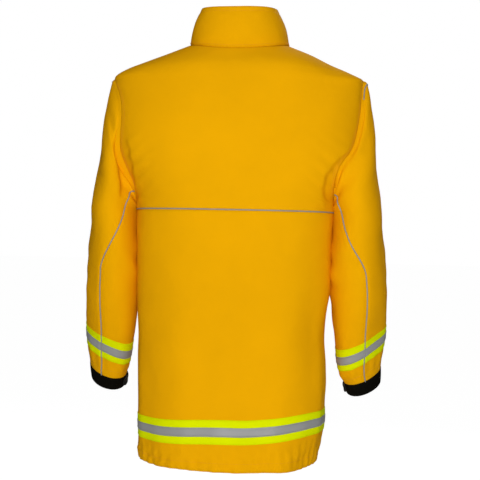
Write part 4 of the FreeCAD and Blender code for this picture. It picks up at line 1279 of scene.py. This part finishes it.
class COAT_OT_piping(bpy.types.Operator):
    """Lay the reflective piping into the yoke seams"""

    bl_idname = "coat.piping"
    bl_label = "Yoke piping"

    def execute(self, context):
        run = np.linspace(0.02, math.pi - 0.02, 280)
        made = cord("back_piping", on_body, run, YOKE_SEAM + 0.0001, 0.0008)
        settle(made, "coat", "silver_tape", "back_yoke_piping")
        pieces = []
        height = np.array([FRONT_YOKE_SEAM])
        start = float(front_angle(0.060, height)[0])
        stop = float(armhole_angle(height, True)[0]) - 0.05
        run = np.linspace(start, stop, 110)
        for _, side in SIDES:
            pieces.append(cord("front_piping", on_body, run, FRONT_YOKE_SEAM, 0.0006, side))
            sew("coat", on_body, run, FRONT_YOKE_SEAM + 0.006, side=side)
        settle(join("front_piping", pieces), "coat", "silver_tape", "front_yoke_piping")
        return {"FINISHED"}


# ---------------------------------------------------------------- sleeves
SHOULDER_BEND = ((0.265, 0, -0.060), (0.288, 0, -0.0647))
ELBOW_BEND = ((0.267, -0.006, -0.425), (0.267, -0.006, -0.518))
SLEEVE_END = -0.6945
SLEEVE_STITCH = -0.676
ARM_RADIUS = 0.058


def arm_ring(low, high, cell):
    """Angles and levels for cloth all round the sleeve, starting at its back seam."""
    levels = even(arm_base, (0.0, math.pi), low, high, cell)
    turn = np.linspace(0, 2 * math.pi, 92, endpoint=False)
    heights, share = np.meshgrid(levels, turn, indexing="ij")
    return share + arm_seam(heights), heights


def seam_dip(angles, levels, depth=0.0011):
    """The sleeve dips along its back seam and along the seam inside the arm."""
    dip = np.zeros(angles.shape)
    for seam in (arm_seam(levels), FRONT_SEAM):
        gap = np.abs((angles - seam + math.pi) % (2 * math.pi) - math.pi) * ARM_RADIUS
        dip = dip - depth * (1 - smooth(gap, 0, 0.0045))
    return dip


class COAT_OT_sleeves(bpy.types.Operator):
    """Sew both sleeves in an upper and a lower run, with their piping and trim"""

    bl_idname = "coat.sleeves"
    bl_label = "Sleeves"

    def execute(self, context):
        for name, side in SIDES:
            self.make_cloth(context, name, side)
            self.make_piping(name, side)
            self.make_shoulder_piping(name, side)
            self.make_trim(name, side)
        return {"FINISHED"}

    def bend(self, piece, name, side, upper, slot, *nodes):
        """Cloth that crosses the shoulder or the elbow; it keeps its place and doesn't turn with either body.
        """
        bodies = ("coat", name + "_upper_arm") if upper else (name + "_upper_arm", name + "_lower_arm")
        ends = [mirrored(np.array(end), side) for end in (SHOULDER_BEND if upper else ELBOW_BEND)]
        bend_between(piece, bodies, ends, slot, *[name + node for node in nodes])

    def make_cloth(self, context, name, side):
        sizes = context.scene.coat_sizes
        for part, low, high, nodes in (
                ("upper", SPLIT, CAP_TOP + TUCK, ("_sleeve_cap", "_upper_sleeve")),
                ("lower", SLEEVE_END, SPLIT, ("_elbow", "_forearm_sleeve"))):
            upper = part == "upper"
            angles, levels = arm_ring(low, high, sizes.cell * 0.95)
            dip = seam_dip(angles, levels)
            if upper:
                dip = dip * (1 - smooth(levels, CAP_TOP - 0.004, CAP_TOP))
            else:
                dip = dip - 0.0008 * (1 - smooth(levels, SLEEVE_END, -0.690))
                dip = dip - 0.0005 * bump(levels, SLEEVE_STITCH, 0.0014)
            made = slab(f"{name}_{part}_sleeve_cloth", on_arm, angles, levels, dip, dip - sizes.cloth,
                        "golden_cotton", side, ring=True, flat=(upper, not upper))
            self.bend(made, name, side, upper, "shell_cloth", *nodes)
        run = np.linspace(0, 2 * math.pi, 120)
        sew(name + "_lower_arm", on_arm, run, SLEEVE_STITCH, -0.0003, side)

    def make_piping(self, name, side):
        """Piping down the back seam, which rises over the sleeve's lime and silver trim."""
        for part, low, high, node in (("upper", SPLIT, CAP_TOP - 0.001, "_upper_sleeve_piping"),
                                      ("lower", -0.6935, SPLIT, "_forearm_piping")):
            levels = np.linspace(low, high, 110)
            over_lime = smooth(-levels, 0.604, 0.609) * (1 - smooth(-levels, 0.652, 0.657))
            over_silver = smooth(-levels, 0.620, 0.6235) * (1 - smooth(-levels, 0.637, 0.6405))
            made = cord(f"{name}_{part}_piping", on_arm, arm_seam(levels), levels,
                        0.0009 * (over_lime + over_silver), side)
            self.bend(made, name, side, part == "upper", "silver_tape", node)

    def make_shoulder_piping(self, name, side):
        """A short piping over the shoulder tip, further round on the right."""
        run = np.linspace(math.radians(46 if side < 0 else 4), math.radians(-52), 60)
        levels = CAP_TOP - 0.0005 - 0.013 * smooth(-run, -0.72, 0.05)
        made = cord(name + "_shoulder_piping", on_arm, run, levels, 0.0004, side)
        self.bend(made, name, side, True, "silver_tape")

    def make_trim(self, name, side):
        for key, low, high, outer, inner, node in (
                ("lime", -0.653, -0.608, 0.0010, 0.0001, "_sleeve_trim"),
                ("silver", -0.6389, -0.6221, 0.0017, 0.0010, "_sleeve_trim_reflective")):
            angles, levels = arm_ring(low, high, 0.0036)
            dip = seam_dip(angles, levels, 0.0004)
            made = slab(f"{name}_sleeve_{key}", on_arm, angles, levels, outer + dip, inner + dip * 0.5,
                        key + "_tape", side, ring=True)
            settle(made, name + "_lower_arm", key + "_tape", name + node)
            run = np.linspace(0, 2 * math.pi, 160)
            for level in (low + 0.002, high - 0.002):
                sew(name + "_lower_arm", on_arm, run, level, outer + 0.0001, side, key + "_thread")


TAB_ROOT, TAB_BEND_END = math.radians(214), math.radians(180)
TAB_LEVEL = -0.708
TAB_HALF = 0.008


def tab_bend(name, side):
    """The bodies that a wrist tab joins, and two places on the tab at the cuff; nothing bends it between
    them.
    """
    ends = on_arm(np.array([TAB_ROOT, TAB_BEND_END]), TAB_LEVEL, 0.0034, side)
    return (name + "_lower_arm", name + "_wrist_strap"), ends


class COAT_OT_cuffs(bpy.types.Operator):
    """Knit the cuffs, with their take-up tabs and the hook and loop patches under them"""

    bl_idname = "coat.cuffs"
    bl_label = "Cuffs"

    def execute(self, context):
        for name, side in SIDES:
            levels = np.linspace(-0.7205, -0.6925, 13)
            turn = np.linspace(0, 2 * math.pi, 260, endpoint=False)
            heights, angles = np.meshgrid(levels, turn, indexing="ij")
            rib = 0.00035 * np.cos(angles * 65)
            swell = 0.0006 * np.sin((heights - levels[0]) / (levels[-1] - levels[0]) * math.pi)
            cuff = slab(name + "_cuff_knit", on_arm, angles, heights, 0.0004 + rib + swell, -0.0030,
                        "black_knit", side, ring=True)
            settle(cuff, name + "_lower_arm", "black_knit", name + "_cuff")
            for key, first, last, low, high, finish_name, node, body in (
                    ("tab_webbing", 150, 215, 0.0034, 0.0056, "black_webbing", "_wrist_tab", "_wrist_strap"),
                    ("tab_hooks", 153, 174, 0.0024, 0.0033, "hook_and_loop", "_wrist_tab_hook",
                     "_wrist_strap"),
                    ("cuff_loops", 151, 190, 0.0010, 0.0020, "hook_and_loop", "_cuff_loop", "_lower_arm")):
                rows = np.linspace(-TAB_HALF, TAB_HALF, 9)
                cols = np.radians(np.linspace(first, last, 34))
                across, along = np.meshgrid(rows, cols, indexing="ij")
                if key == "tab_webbing":
                    end = (along - cols[0]) * 0.045
                    across = across * (1 - 0.35 * np.clip(1 - end / 0.006, 0, 1) ** 2)
                made = slab(f"{name}_{key}", on_arm, along, TAB_LEVEL + across, high, low, finish_name, side)
                if key == "tab_webbing":
                    bend_between(made, *tab_bend(name, side), finish_name, name + node)
                else:
                    settle(made, name + body, finish_name, name + node)
            for row in (-0.0062, 0.0062):
                sew(name + "_wrist_strap", on_arm, np.radians(np.linspace(152, 214, 40)), TAB_LEVEL + row,
                    0.0057, side, "black_thread")
        return {"FINISHED"}


# ---------------------------------------------------------------- the front closure
LEAN = math.atan(FRONT_SLOPE)
UP = np.array([0, math.sin(LEAN), math.cos(LEAN)])
INWARDS = np.array([0, math.cos(LEAN), -math.sin(LEAN)])


def opening(x, inwards, up):
    """A place in the plane of the front opening: x across, inwards behind it, up along it."""
    x, inwards, up = matched(x, inwards, up)
    return np.array(NECK_FRONT) + x[..., None] * np.array([1, 0, 0]) + inwards[..., None] * INWARDS \
        + up[..., None] * UP


def long_strip(name, profile, thickness, low, high, material, cell=0.006, corner=0.0, ripple=0.0):
    """A strip along the opening whose cross-section follows a smooth line of (x, inwards) points."""
    xs, ys = np.array(sorted(profile)).T
    across = np.linspace(xs[0], xs[-1], int(max(7, round((xs[-1] - xs[0]) / 0.0028))))
    depth = glide(xs, ys, across)
    rows = np.linspace(low, high, int(max(5, round((high - low) / cell))))
    levels, x = np.meshgrid(rows, across, indexing="ij")
    y = np.broadcast_to(depth, x.shape).copy()
    if corner:
        near = np.minimum(x - xs[0], xs[-1] - x)
        pull = corner * (1 - np.sqrt(np.clip(1 - np.clip(1 - near / corner, 0, 1) ** 2, 0, 1)))
        levels = np.clip(levels, low + pull, high - pull)
    y = y + ripple * np.sin(levels * 2 * math.pi / 0.14 + x * 30) * smooth(np.abs(x), 0.0, 0.05)
    return cloth(name, opening(x, y - thickness, levels), opening(x, y, levels), material)


class COAT_OT_zipper(bpy.types.Operator):
    """Make the zipper: woven tapes, rows of teeth, and metal on its slider, pull and stop"""

    bl_idname = "coat.zipper"
    bl_label = "Zipper"

    def tooth_tree(self):
        """Geometry nodes that set eight-sided teeth along a row of places."""
        tree, keys, start, instance, turn = line_tree(
            "Zipper teeth", (("Pitch", "NodeSocketFloat", 0.0032),
                             ("Tooth size", "NodeSocketVector", (0.0024, 0.0040, 0.0016))), "Z")
        block = tree.nodes.new("GeometryNodeMeshCylinder")
        set_inputs(block, Vertices=8, Radius=0.54, Depth=1.0)
        wire(tree, (block, "Mesh", instance, "Instance"), (turn, "Rotation", instance, "Rotation"),
             (start, "Tooth size", instance, "Scale"))
        return tree, keys

    def execute(self, context):
        sizes = context.scene.coat_sizes
        tree, keys = self.tooth_tree()
        pitch = sizes.tooth_pitch
        for name, side in SIDES:
            edges = [(0.0038 * side, 0.0032), (0.020 * side, 0.0032)]
            tape = long_strip(name + "_tape_cloth", edges, 0.0008, -0.796, 0.076, "zipper_cloth")
            settle(tape, "coat", "zipper_tape", name + "_zipper_tape")
            shift = pitch / 2 if side > 0 else 0.0
            rows = np.array([-0.795 + shift, 0.0745 + shift - pitch / 2])
            places = opening(0.0025 * side, 0.0028, rows)
            line = bpy.data.meshes.new("tooth_line")
            line.from_pydata(places.tolist(), [(0, 1)], [])
            values = {keys["Pitch"]: pitch, keys["Tooth size"]: (0.0022, 0.0036, 0.0017),
                      keys["Material"]: finish("zipper_brass")}
            teeth = run_tree(name + "_teeth", line, tree, values, "zipper_brass")
            settle(teeth, "coat", "zipper_metal", name + "_zipper_chain")
        for node in ("zipper_slider", "zipper_pull", "zipper_bottom_stop"):
            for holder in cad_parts[node].material_slots:
                holder.material = finish("zipper_brass")
        return {"FINISHED"}


class COAT_OT_closure(bpy.types.Operator):
    """Sew the storm flap over the zipper and the throat tab on the collar"""

    bl_idname = "coat.closure"
    bl_label = "Storm flap and throat tab"

    def execute(self, context):
        under = [(0.038, -0.0008), (0.0124, -0.008), (-0.0124, -0.008), (-0.028, -0.0034), (-0.052, -0.0034)]
        flap = long_strip("storm_flap_cloth", under, 0.003, -0.792, -0.014, "golden_cotton", corner=0.006,
                          ripple=0.0005)
        settle(flap, "fly", "shell_cloth", "storm_flap")
        low, high = -0.786, -0.020
        xs, ys = np.array(sorted(under)).T
        rows = np.linspace(low, high, 140)
        for x in (-0.0455, -0.0395, 0.030):
            y = float(glide(xs, ys, np.array([x]))[0])
            sew_points("fly", opening(x, y - 0.0031, rows), -INWARDS)
        for name, inwards, body, node in (("storm_flap_hooks", -0.0023, "fly", "storm_flap_hook"),
                                          ("storm_flap_loops", -0.0004, "coat", "storm_flap_loop")):
            edges = [(-0.051, inwards), (-0.031, inwards)]
            strip = long_strip(name, edges, 0.001, low, high, "hook_and_loop")
            settle(strip, body, "hook_and_loop", node)
        under = [(0.050, -0.0016), (0.032, -0.0038), (0.0124, -0.008), (-0.0124, -0.008), (-0.032, -0.0038),
                 (-0.050, -0.0016)]
        tab = long_strip("throat_tab_cloth", under, 0.003, 0.003, 0.029, "golden_cotton", cell=0.002,
                         corner=0.008)
        settle(tab, "throat_tab", "shell_cloth", "collar_tab")
        loop = long_strip("throat_tab_loops", [(-0.048, 0.0005), (-0.033, -0.0018)], 0.0009, 0.005, 0.027,
                          "hook_and_loop", cell=0.003)
        settle(loop, "coat", "hook_and_loop", "collar_tab_loop")
        return {"FINISHED"}


# ---------------------------------------------------------------- pockets
POCKETS = {
    "hip": {"origin": (0.064, -0.129156, -0.530), "x": (0.9613, 0.27508, 0.01552),
            "y": (-0.27375, 0.95998, -0.05911), "z": (-0.03116, 0.05257, 0.99813), "width": 0.10734,
            "depth": 0.027, "height": 0.195, "flap": 0.062},
    "radio": {"origin": (0.074, -0.110397, -0.291454), "x": (0.98055, 0.19624, 0.00294),
              "y": (-0.19573, 0.97886, -0.05934), "z": (-0.01452, 0.05761, 0.99823), "width": 0.08528,
              "depth": 0.033, "height": 0.146, "flap": 0.056},
}


class COAT_OT_pockets(bpy.types.Operator):
    """Sew the bellows pockets, their flaps, the loop patches and the microphone keeper"""

    bl_idname = "coat.pockets"
    bl_label = "Pockets"

    def execute(self, context):
        self.walls = {}
        for name, side in SIDES:
            meshes = [bpy.data.objects[f"{name}_{piece}"] for piece in ("front_cloth", "chest_panel_cloth")]
            points, faces = [], []
            for obj in meshes:
                base = len(points)
                points.extend(v.co.copy() for v in obj.data.vertices)
                faces.extend([[base + i for i in p.vertices] for p in obj.data.polygons])
            self.walls[side] = BVHTree.FromPolygons(points, faces)
        patches = []
        for name, side in SIDES:
            self.make_pouch(name + "_hip_pocket", "hip", side)
            patches.append(self.make_patch("hip", side))
            self.make_flap(name + "_hip_pocket", "hip", side, name + "_pocket_flap")
        self.make_pouch("radio_pocket", "radio", 1)
        patches.append(self.make_patch("radio", 1))
        self.make_flap("radio_pocket", "radio", 1, "radio_flap")
        settle(join("pocket_loops", patches), "coat", "hook_and_loop", "pocket_loop_patches")
        self.make_keeper()
        return {"FINISHED"}

    def place(self, kind, side, x, y, z):
        """A place in a pocket's frame: x outwards along its mouth, y into the coat, z up."""
        data = POCKETS[kind]
        out = np.array(data["origin"])
        for axis, value in zip("xyz", matched(x, y, z)):
            out = out + value[..., None] * np.array(data[axis])
        return mirrored(out, side)

    def wall_depth(self, kind, side, x, z):
        """How far in the coat's own cloth lies behind a place on the pocket."""
        way = Vector(POCKETS[kind]["y"])
        way.x *= side
        way.normalize()
        out = np.empty(np.shape(x))
        for index in np.ndindex(out.shape):
            start = Vector(self.place(kind, side, x[index], -0.06, z[index]))
            hit = self.walls[side].ray_cast(start, way, 0.2)
            out[index] = hit[3] - 0.06 if hit[0] is not None else 0.004
        return out

    def make_pouch(self, name, kind, side):
        data = POCKETS[kind]
        width, depth, height = data["width"], data["depth"], data["height"]
        v_grid, u_grid = np.meshgrid(np.linspace(-1, 1, 64), np.linspace(-1, 1, 46), indexing="ij")
        wrap = 0.26
        face_u = np.clip(u_grid / (1 - wrap), -1, 1)
        face_v = np.clip(v_grid / (1 - wrap), -1, 1)
        face_v = np.where(v_grid > 0, v_grid, face_v)
        beyond = np.clip((np.maximum(np.abs(u_grid), -v_grid) - (1 - wrap)) / wrap, 0, 1)
        x = width / 2 + face_u * (width / 2 - 0.0006)
        z = -height / 2 + face_v * height / 2
        corner = np.clip(np.abs(face_u) * np.clip(-face_v, 0, 1), 0, 1) ** 24
        x = x - np.sign(face_u) * 0.006 * corner * np.clip(-face_v, 0, 1)
        z = z + 0.006 * corner
        pinch = np.sin(beyond * math.pi) * 0.0035
        x = x - np.sign(u_grid) * pinch * (np.abs(u_grid) > -v_grid)
        z = z + pinch * (np.abs(u_grid) <= -v_grid)
        back = self.wall_depth(kind, side, x, np.clip(z, -height, -0.001)) - 0.0004
        puff = 0.0022 * (1 - face_u ** 2) * (1 - face_v ** 4) - 0.0028 * (np.abs(face_u) ** 8) * (beyond <= 0)
        front = -depth + 0.0024 - puff + 0.0012 * wrinkles(np.stack([x, z, z * 0], -1), 0.06, 41)
        front = np.minimum(front, -depth + 0.006)
        front = np.maximum(front, -depth - 0.0001)
        y = front + (back - front) * smooth(beyond, 0, 1) ** 0.9
        outer = self.place(kind, side, x, y, z)
        inner_x = width / 2 + (x - width / 2) * (1 - 0.0036 / width)
        inner_y = np.minimum(y + 0.0017 * (1 - smooth(beyond, 0.1, 0.5)), back + 0.0008)
        inner_z = np.maximum(z + 0.0018 * smooth(beyond, 0.0, 0.5) * (np.abs(u_grid) <= -v_grid), -height)
        inner = self.place(kind, side, inner_x, inner_y, inner_z)
        pouch = cloth(name + "_pouch", outer, inner, "golden_cotton")
        settle(pouch, "coat", "shell_cloth", name)
        way = mirrored(-np.array(data["y"]), side)
        t = np.linspace(0.06, 0.94, 70)
        down = -height * np.linspace(0.06, 0.92, 80)
        for x, lift, z in ((t * width, 0.0012, -0.008), (t * width, 0.0012, -0.014), (0.006, 0.0022, down),
                           (width - 0.006, 0.0022, down), (t * width, 0.0020, -height + 0.009)):
            sew_points("coat", self.place(kind, side, x, -depth + lift, z), way)

    def make_patch(self, kind, side):
        data = POCKETS[kind]
        x, z = np.linspace(0.012, data["width"] - 0.012, 30), np.linspace(-0.046, -0.026, 9)
        z, x = np.meshgrid(z, x, indexing="ij")
        return cloth("loop_patch", self.place(kind, side, x, -data["depth"] - 0.0011, z),
                     self.place(kind, side, x, -data["depth"] + 0.0012, z), "hook_and_loop")

    def make_flap(self, name, kind, side, body):
        """A stiff flap with clipped corners, in one piece with the strip that it hangs from."""
        data = POCKETS[kind]
        width, depth, tall = data["width"], data["depth"], data["flap"]
        side_over, clip, thick = 0.005, 0.014, 0.0030
        front = -depth - 0.0015 - thick
        across = np.linspace(-side_over, width + side_over, 44)
        sewn = np.array([[0.0005, 0.0275], [-0.010, 0.0205], [-0.020, 0.0135], [front + 0.0016, 0.0062],
                         [front + 0.0003, 0.0030], [front, 0.0]])
        hang = np.stack([np.full(26, front), np.linspace(-0.002, -tall, 26)], -1)
        profile = np.concatenate([sewn, hang])
        run = run_lengths(profile)
        share = np.linspace(0, run[-1], 56)
        y_line, z_line = np.interp(share, run, profile[:, 0]), np.interp(share, run, profile[:, 1])
        z, x = np.meshgrid(z_line, across, indexing="ij")
        y = np.broadcast_to(y_line[:, None], z.shape).copy()
        near = np.minimum(x + side_over, width + side_over - x)
        lowest = -tall + clip * np.clip(1 - near / clip, 0, 1)
        z = np.where(z < 0, z * (lowest / -tall), z)

        def crown(x):
            return 0.0006 * np.sin(np.clip((x + side_over) / (width + 2 * side_over), 0, 1) * math.pi)

        y = y - crown(x) * smooth(-z, 0.0, 0.02) + 0.0010 * smooth(-z, tall * 0.6, tall)
        tilt = unit(np.gradient(np.stack([y_line, z_line], -1), axis=0))
        into_y, into_z = -tilt[:, 1], tilt[:, 0]
        outer = self.place(kind, side, x, y, z)
        inner = self.place(kind, side, x, y + into_y[:, None] * thick, z + into_z[:, None] * thick)
        flap = cloth(name + "_flap_cloth", outer, inner, "golden_cotton")
        ends = [self.place(kind, side, 0.03, front, level) for level in (0.0065, -0.0045)]
        bend_between(flap, ("coat", body), ends, "shell_cloth", name + "_flap")
        way = mirrored(-np.array(data["y"]), side)
        inset = 0.006
        corners = [(-side_over + inset, -0.012), (-side_over + inset, clip - tall + 0.003),
                   (clip - side_over + 0.003, inset - tall), (width + side_over - clip - 0.003, inset - tall),
                   (width + side_over - inset, clip - tall + 0.003), (width + side_over - inset, -0.012)]
        line = []
        for (x0, z0), (x1, z1) in zip(corners, corners[1:]):
            steps = np.linspace(0, 1, 24)[:-1]
            line.append(np.stack([x0 + (x1 - x0) * steps, z0 + (z1 - z0) * steps], -1))
        line = np.concatenate(line)
        lift = -crown(line[:, 0]) + 0.0010 * smooth(-line[:, 1], tall * 0.6, tall)
        sew_points(body, self.place(kind, side, line[:, 0], front - 0.0001 + lift, line[:, 1]), way)

    def make_keeper(self):
        """A short webbing strap across the chest panel that holds a microphone clip."""
        rows = np.linspace(-0.208, -0.196, 8)
        start, stop = front_angle(0.098, rows), front_angle(0.134, rows)
        angles, levels = grid(start, stop, rows, 0.0016, on_body)
        share = (angles - start[:, None]) / (stop - start)[:, None]
        arch = 0.0016 * smooth(1 - np.abs(share * 2 - 1), 0.1, 0.4)
        strap = slab("microphone_keeper_webbing", on_body, angles, levels, 0.0020 + arch,
                     0.0006 + arch * 0.9, "black_webbing")
        settle(strap, "coat", "black_webbing", "microphone_keeper")


class COAT_OT_stitches(bpy.types.Operator):
    """Run every kept line of stitching, one piece for each body and thread"""

    bl_idname = "coat.stitches"
    bl_label = "Stitches"

    def execute(self, context):
        sizes = context.scene.coat_sizes
        tree, keys = stitch_tree()
        kinds = {"coat_thread": ("coat_thread", "shell_cloth"),
                 "black_thread": ("black_thread", "black_webbing"),
                 "lime_thread": ("lime_tape", "lime_tape"), "silver_thread": ("silver_tape", "silver_tape")}
        for (body, kind), lines in STITCHES.items():
            points, edges, ups = [], [], []
            for line, up in lines:
                base = len(points)
                points.extend(line.tolist())
                ups.append(up)
                edges.extend((base + i, base + i + 1) for i in range(len(line) - 1))
            source = bpy.data.meshes.new("stitch_lines")
            source.from_pydata(points, edges, [])
            vectors = np.concatenate(ups).astype(np.float32).reshape(-1)
            source.attributes.new("up", "FLOAT_VECTOR", "POINT").data.foreach_set("vector", vectors)
            material, slot = kinds[kind]
            values = {keys["Pitch"]: sizes.stitch_pitch, keys["Length"]: sizes.stitch_length,
                      keys["Width"]: sizes.stitch_width, keys["Material"]: finish(material)}
            made = run_tree(f"{body}_{kind}", source, tree, values, material)
            if body.endswith("_wrist_strap"):
                name = body.split("_")[0]
                bend_between(made, *tab_bend(name, dict(SIDES)[name]), slot)
            else:
                settle(made, body, slot)
        STITCHES.clear()
        return {"FINISHED"}


# ---------------------------------------------------------------- the stage
class COAT_OT_stage(bpy.types.Operator):
    """Lay the pale floor, hang the soft lights and set the camera"""

    bl_idname = "coat.stage"
    bl_label = "Stage"

    def execute(self, context):
        settings = context.scene.coat_stage
        scene = context.scene
        angle, away = settings.azimuth, settings.distance
        data = bpy.data.cameras.new("camera")
        data.sensor_width = 36.0
        data.lens = settings.lens
        data.shift_x = 0.0104
        camera = bpy.data.objects.new("camera", data)
        back = Vector((math.sin(angle), -math.cos(angle), 0))
        turn = back.to_track_quat("Z", "Y").to_matrix().to_4x4() @ Matrix.Rotation(settings.roll, 4, "Z")
        camera.matrix_world = Matrix.Translation(back * away + Vector((0, 0, settings.eye_level))) @ turn
        scene.collection.objects.link(camera)
        scene.camera = camera
        self.make_floor(settings)
        self.make_lights(scene, settings, back)
        scene.view_settings.view_transform = "Standard"
        return {"FINISHED"}

    def make_floor(self, settings):
        low = float(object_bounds()[0][2]) - settings.floor_gap
        mesh = bpy.data.meshes.new("floor")
        sides, radius = 96, 60
        turn = [2 * math.pi * k / sides for k in range(sides)]
        points = [(radius * math.cos(t), radius * math.sin(t), low) for t in turn]
        mesh.from_pydata(points, [], [list(range(sides))])
        material, shader = new_material("floor_paper", 0.9)
        tree = material.node_tree
        place = tree.nodes.new("ShaderNodeTexCoord")
        vary = place_group(material, "Cloth variation", place.outputs["Object"], Scale=1.0, Crease=20.0)
        tree.links.new(mix_colour(tree, vary.outputs["Tint"], (0.90, 0.90, 0.90, 1), (0.92, 0.92, 0.92, 1)),
                       shader.inputs["Base Color"])
        path = tree.nodes.new("ShaderNodeLightPath")
        glow = tree.nodes.new("ShaderNodeEmission")
        glow.inputs["Strength"].default_value = 1.22
        share = math_node(tree, "MULTIPLY", path.outputs["Is Camera Ray"], 0.80)
        blend = tree.nodes.new("ShaderNodeMixShader")
        tree.links.new(share, blend.inputs[0])
        tree.links.new(shader.outputs[0], blend.inputs[1])
        tree.links.new(glow.outputs[0], blend.inputs[2])
        tree.links.new(blend.outputs[0], tree.nodes["Material Output"].inputs["Surface"])
        mesh.materials.append(material)
        floor = bpy.data.objects.new("floor", mesh)
        bpy.context.scene.collection.objects.link(floor)
        floor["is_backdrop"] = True

    def make_lights(self, scene, settings, back):
        world = bpy.data.worlds.new("studio_air")
        world.use_nodes = True
        shade = world.node_tree.nodes["Background"]
        shade.inputs["Color"].default_value = (1, 1, 1, 1)
        path = world.node_tree.nodes.new("ShaderNodeLightPath")
        level = world.node_tree.nodes.new("ShaderNodeMapRange")
        level.inputs["To Min"].default_value = settings.air
        level.inputs["To Max"].default_value = 1.0
        world.node_tree.links.new(path.outputs["Is Camera Ray"], level.inputs["Value"])
        world.node_tree.links.new(level.outputs[0], shade.inputs["Strength"])
        scene.world = world
        side = Vector((-back.y, back.x, 0))
        for name, place, aim, size, power in (
                ("key_light", back * 3.3 + Vector((0, 0, 0.10)), (0, 0, -0.44), 0.9, 73.5),
                ("top_light", back * 0.9 + side * -0.5 + Vector((0, 0, 2.3)), (0, 0, 0.0), 1.4, 11.0),
                ("fill_light", -back * 2.4 + side * 1.2 + Vector((0, 0, 1.3)), (0, 0, -0.4), 1.6, 46.0)):
            data = bpy.data.lights.new(name, "AREA")
            data.shape = "DISK"
            data.size = size
            data.energy = power
            lamp = bpy.data.objects.new(name, data)
            aim_way = (place - Vector(aim)).normalized()
            turn = aim_way.to_track_quat("Z", "Y").to_matrix().to_4x4()
            lamp.matrix_world = Matrix.Translation(place) @ turn
            scene.collection.objects.link(lamp)


# ---------------------------------------------------------------- panel and start
class COAT_PT_sidebar(bpy.types.Panel):
    """Sizes, colours and the steps that build the coat"""

    bl_idname = "COAT_PT_sidebar"
    bl_label = "Turnout coat"
    bl_space_type = "VIEW_3D"
    bl_region_type = "UI"
    bl_category = "Coat"

    def draw(self, context):
        scene = context.scene
        for group in (scene.coat_sizes, scene.coat_colours, scene.coat_stage):
            box = self.layout.box()
            for key in group.__annotations__:
                box.prop(group, key)
        for step in STEPS:
            self.layout.operator(step.bl_idname)


STEPS = (COAT_OT_materials, COAT_OT_back, COAT_OT_fronts, COAT_OT_collar, COAT_OT_hem_trim, COAT_OT_piping,
         COAT_OT_sleeves, COAT_OT_cuffs, COAT_OT_zipper, COAT_OT_closure, COAT_OT_pockets, COAT_OT_stitches,
         COAT_OT_stage)
GROUPS = (CoatSizes, CoatColours, StageSettings)


def register():
    for kind in GROUPS + STEPS + (COAT_PT_sidebar,):
        bpy.utils.register_class(kind)
    bpy.types.Scene.coat_sizes = PointerProperty(type=CoatSizes)
    bpy.types.Scene.coat_colours = PointerProperty(type=CoatColours)
    bpy.types.Scene.coat_stage = PointerProperty(type=StageSettings)


def unregister():
    del bpy.types.Scene.coat_stage, bpy.types.Scene.coat_colours, bpy.types.Scene.coat_sizes
    for kind in reversed(GROUPS + STEPS + (COAT_PT_sidebar,)):
        bpy.utils.unregister_class(kind)


def main():
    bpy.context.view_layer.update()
    register()
    for step in STEPS:
        group, action = step.bl_idname.split(".")
        getattr(getattr(bpy.ops, group), action)()


if __name__ == "__main__":
    main()
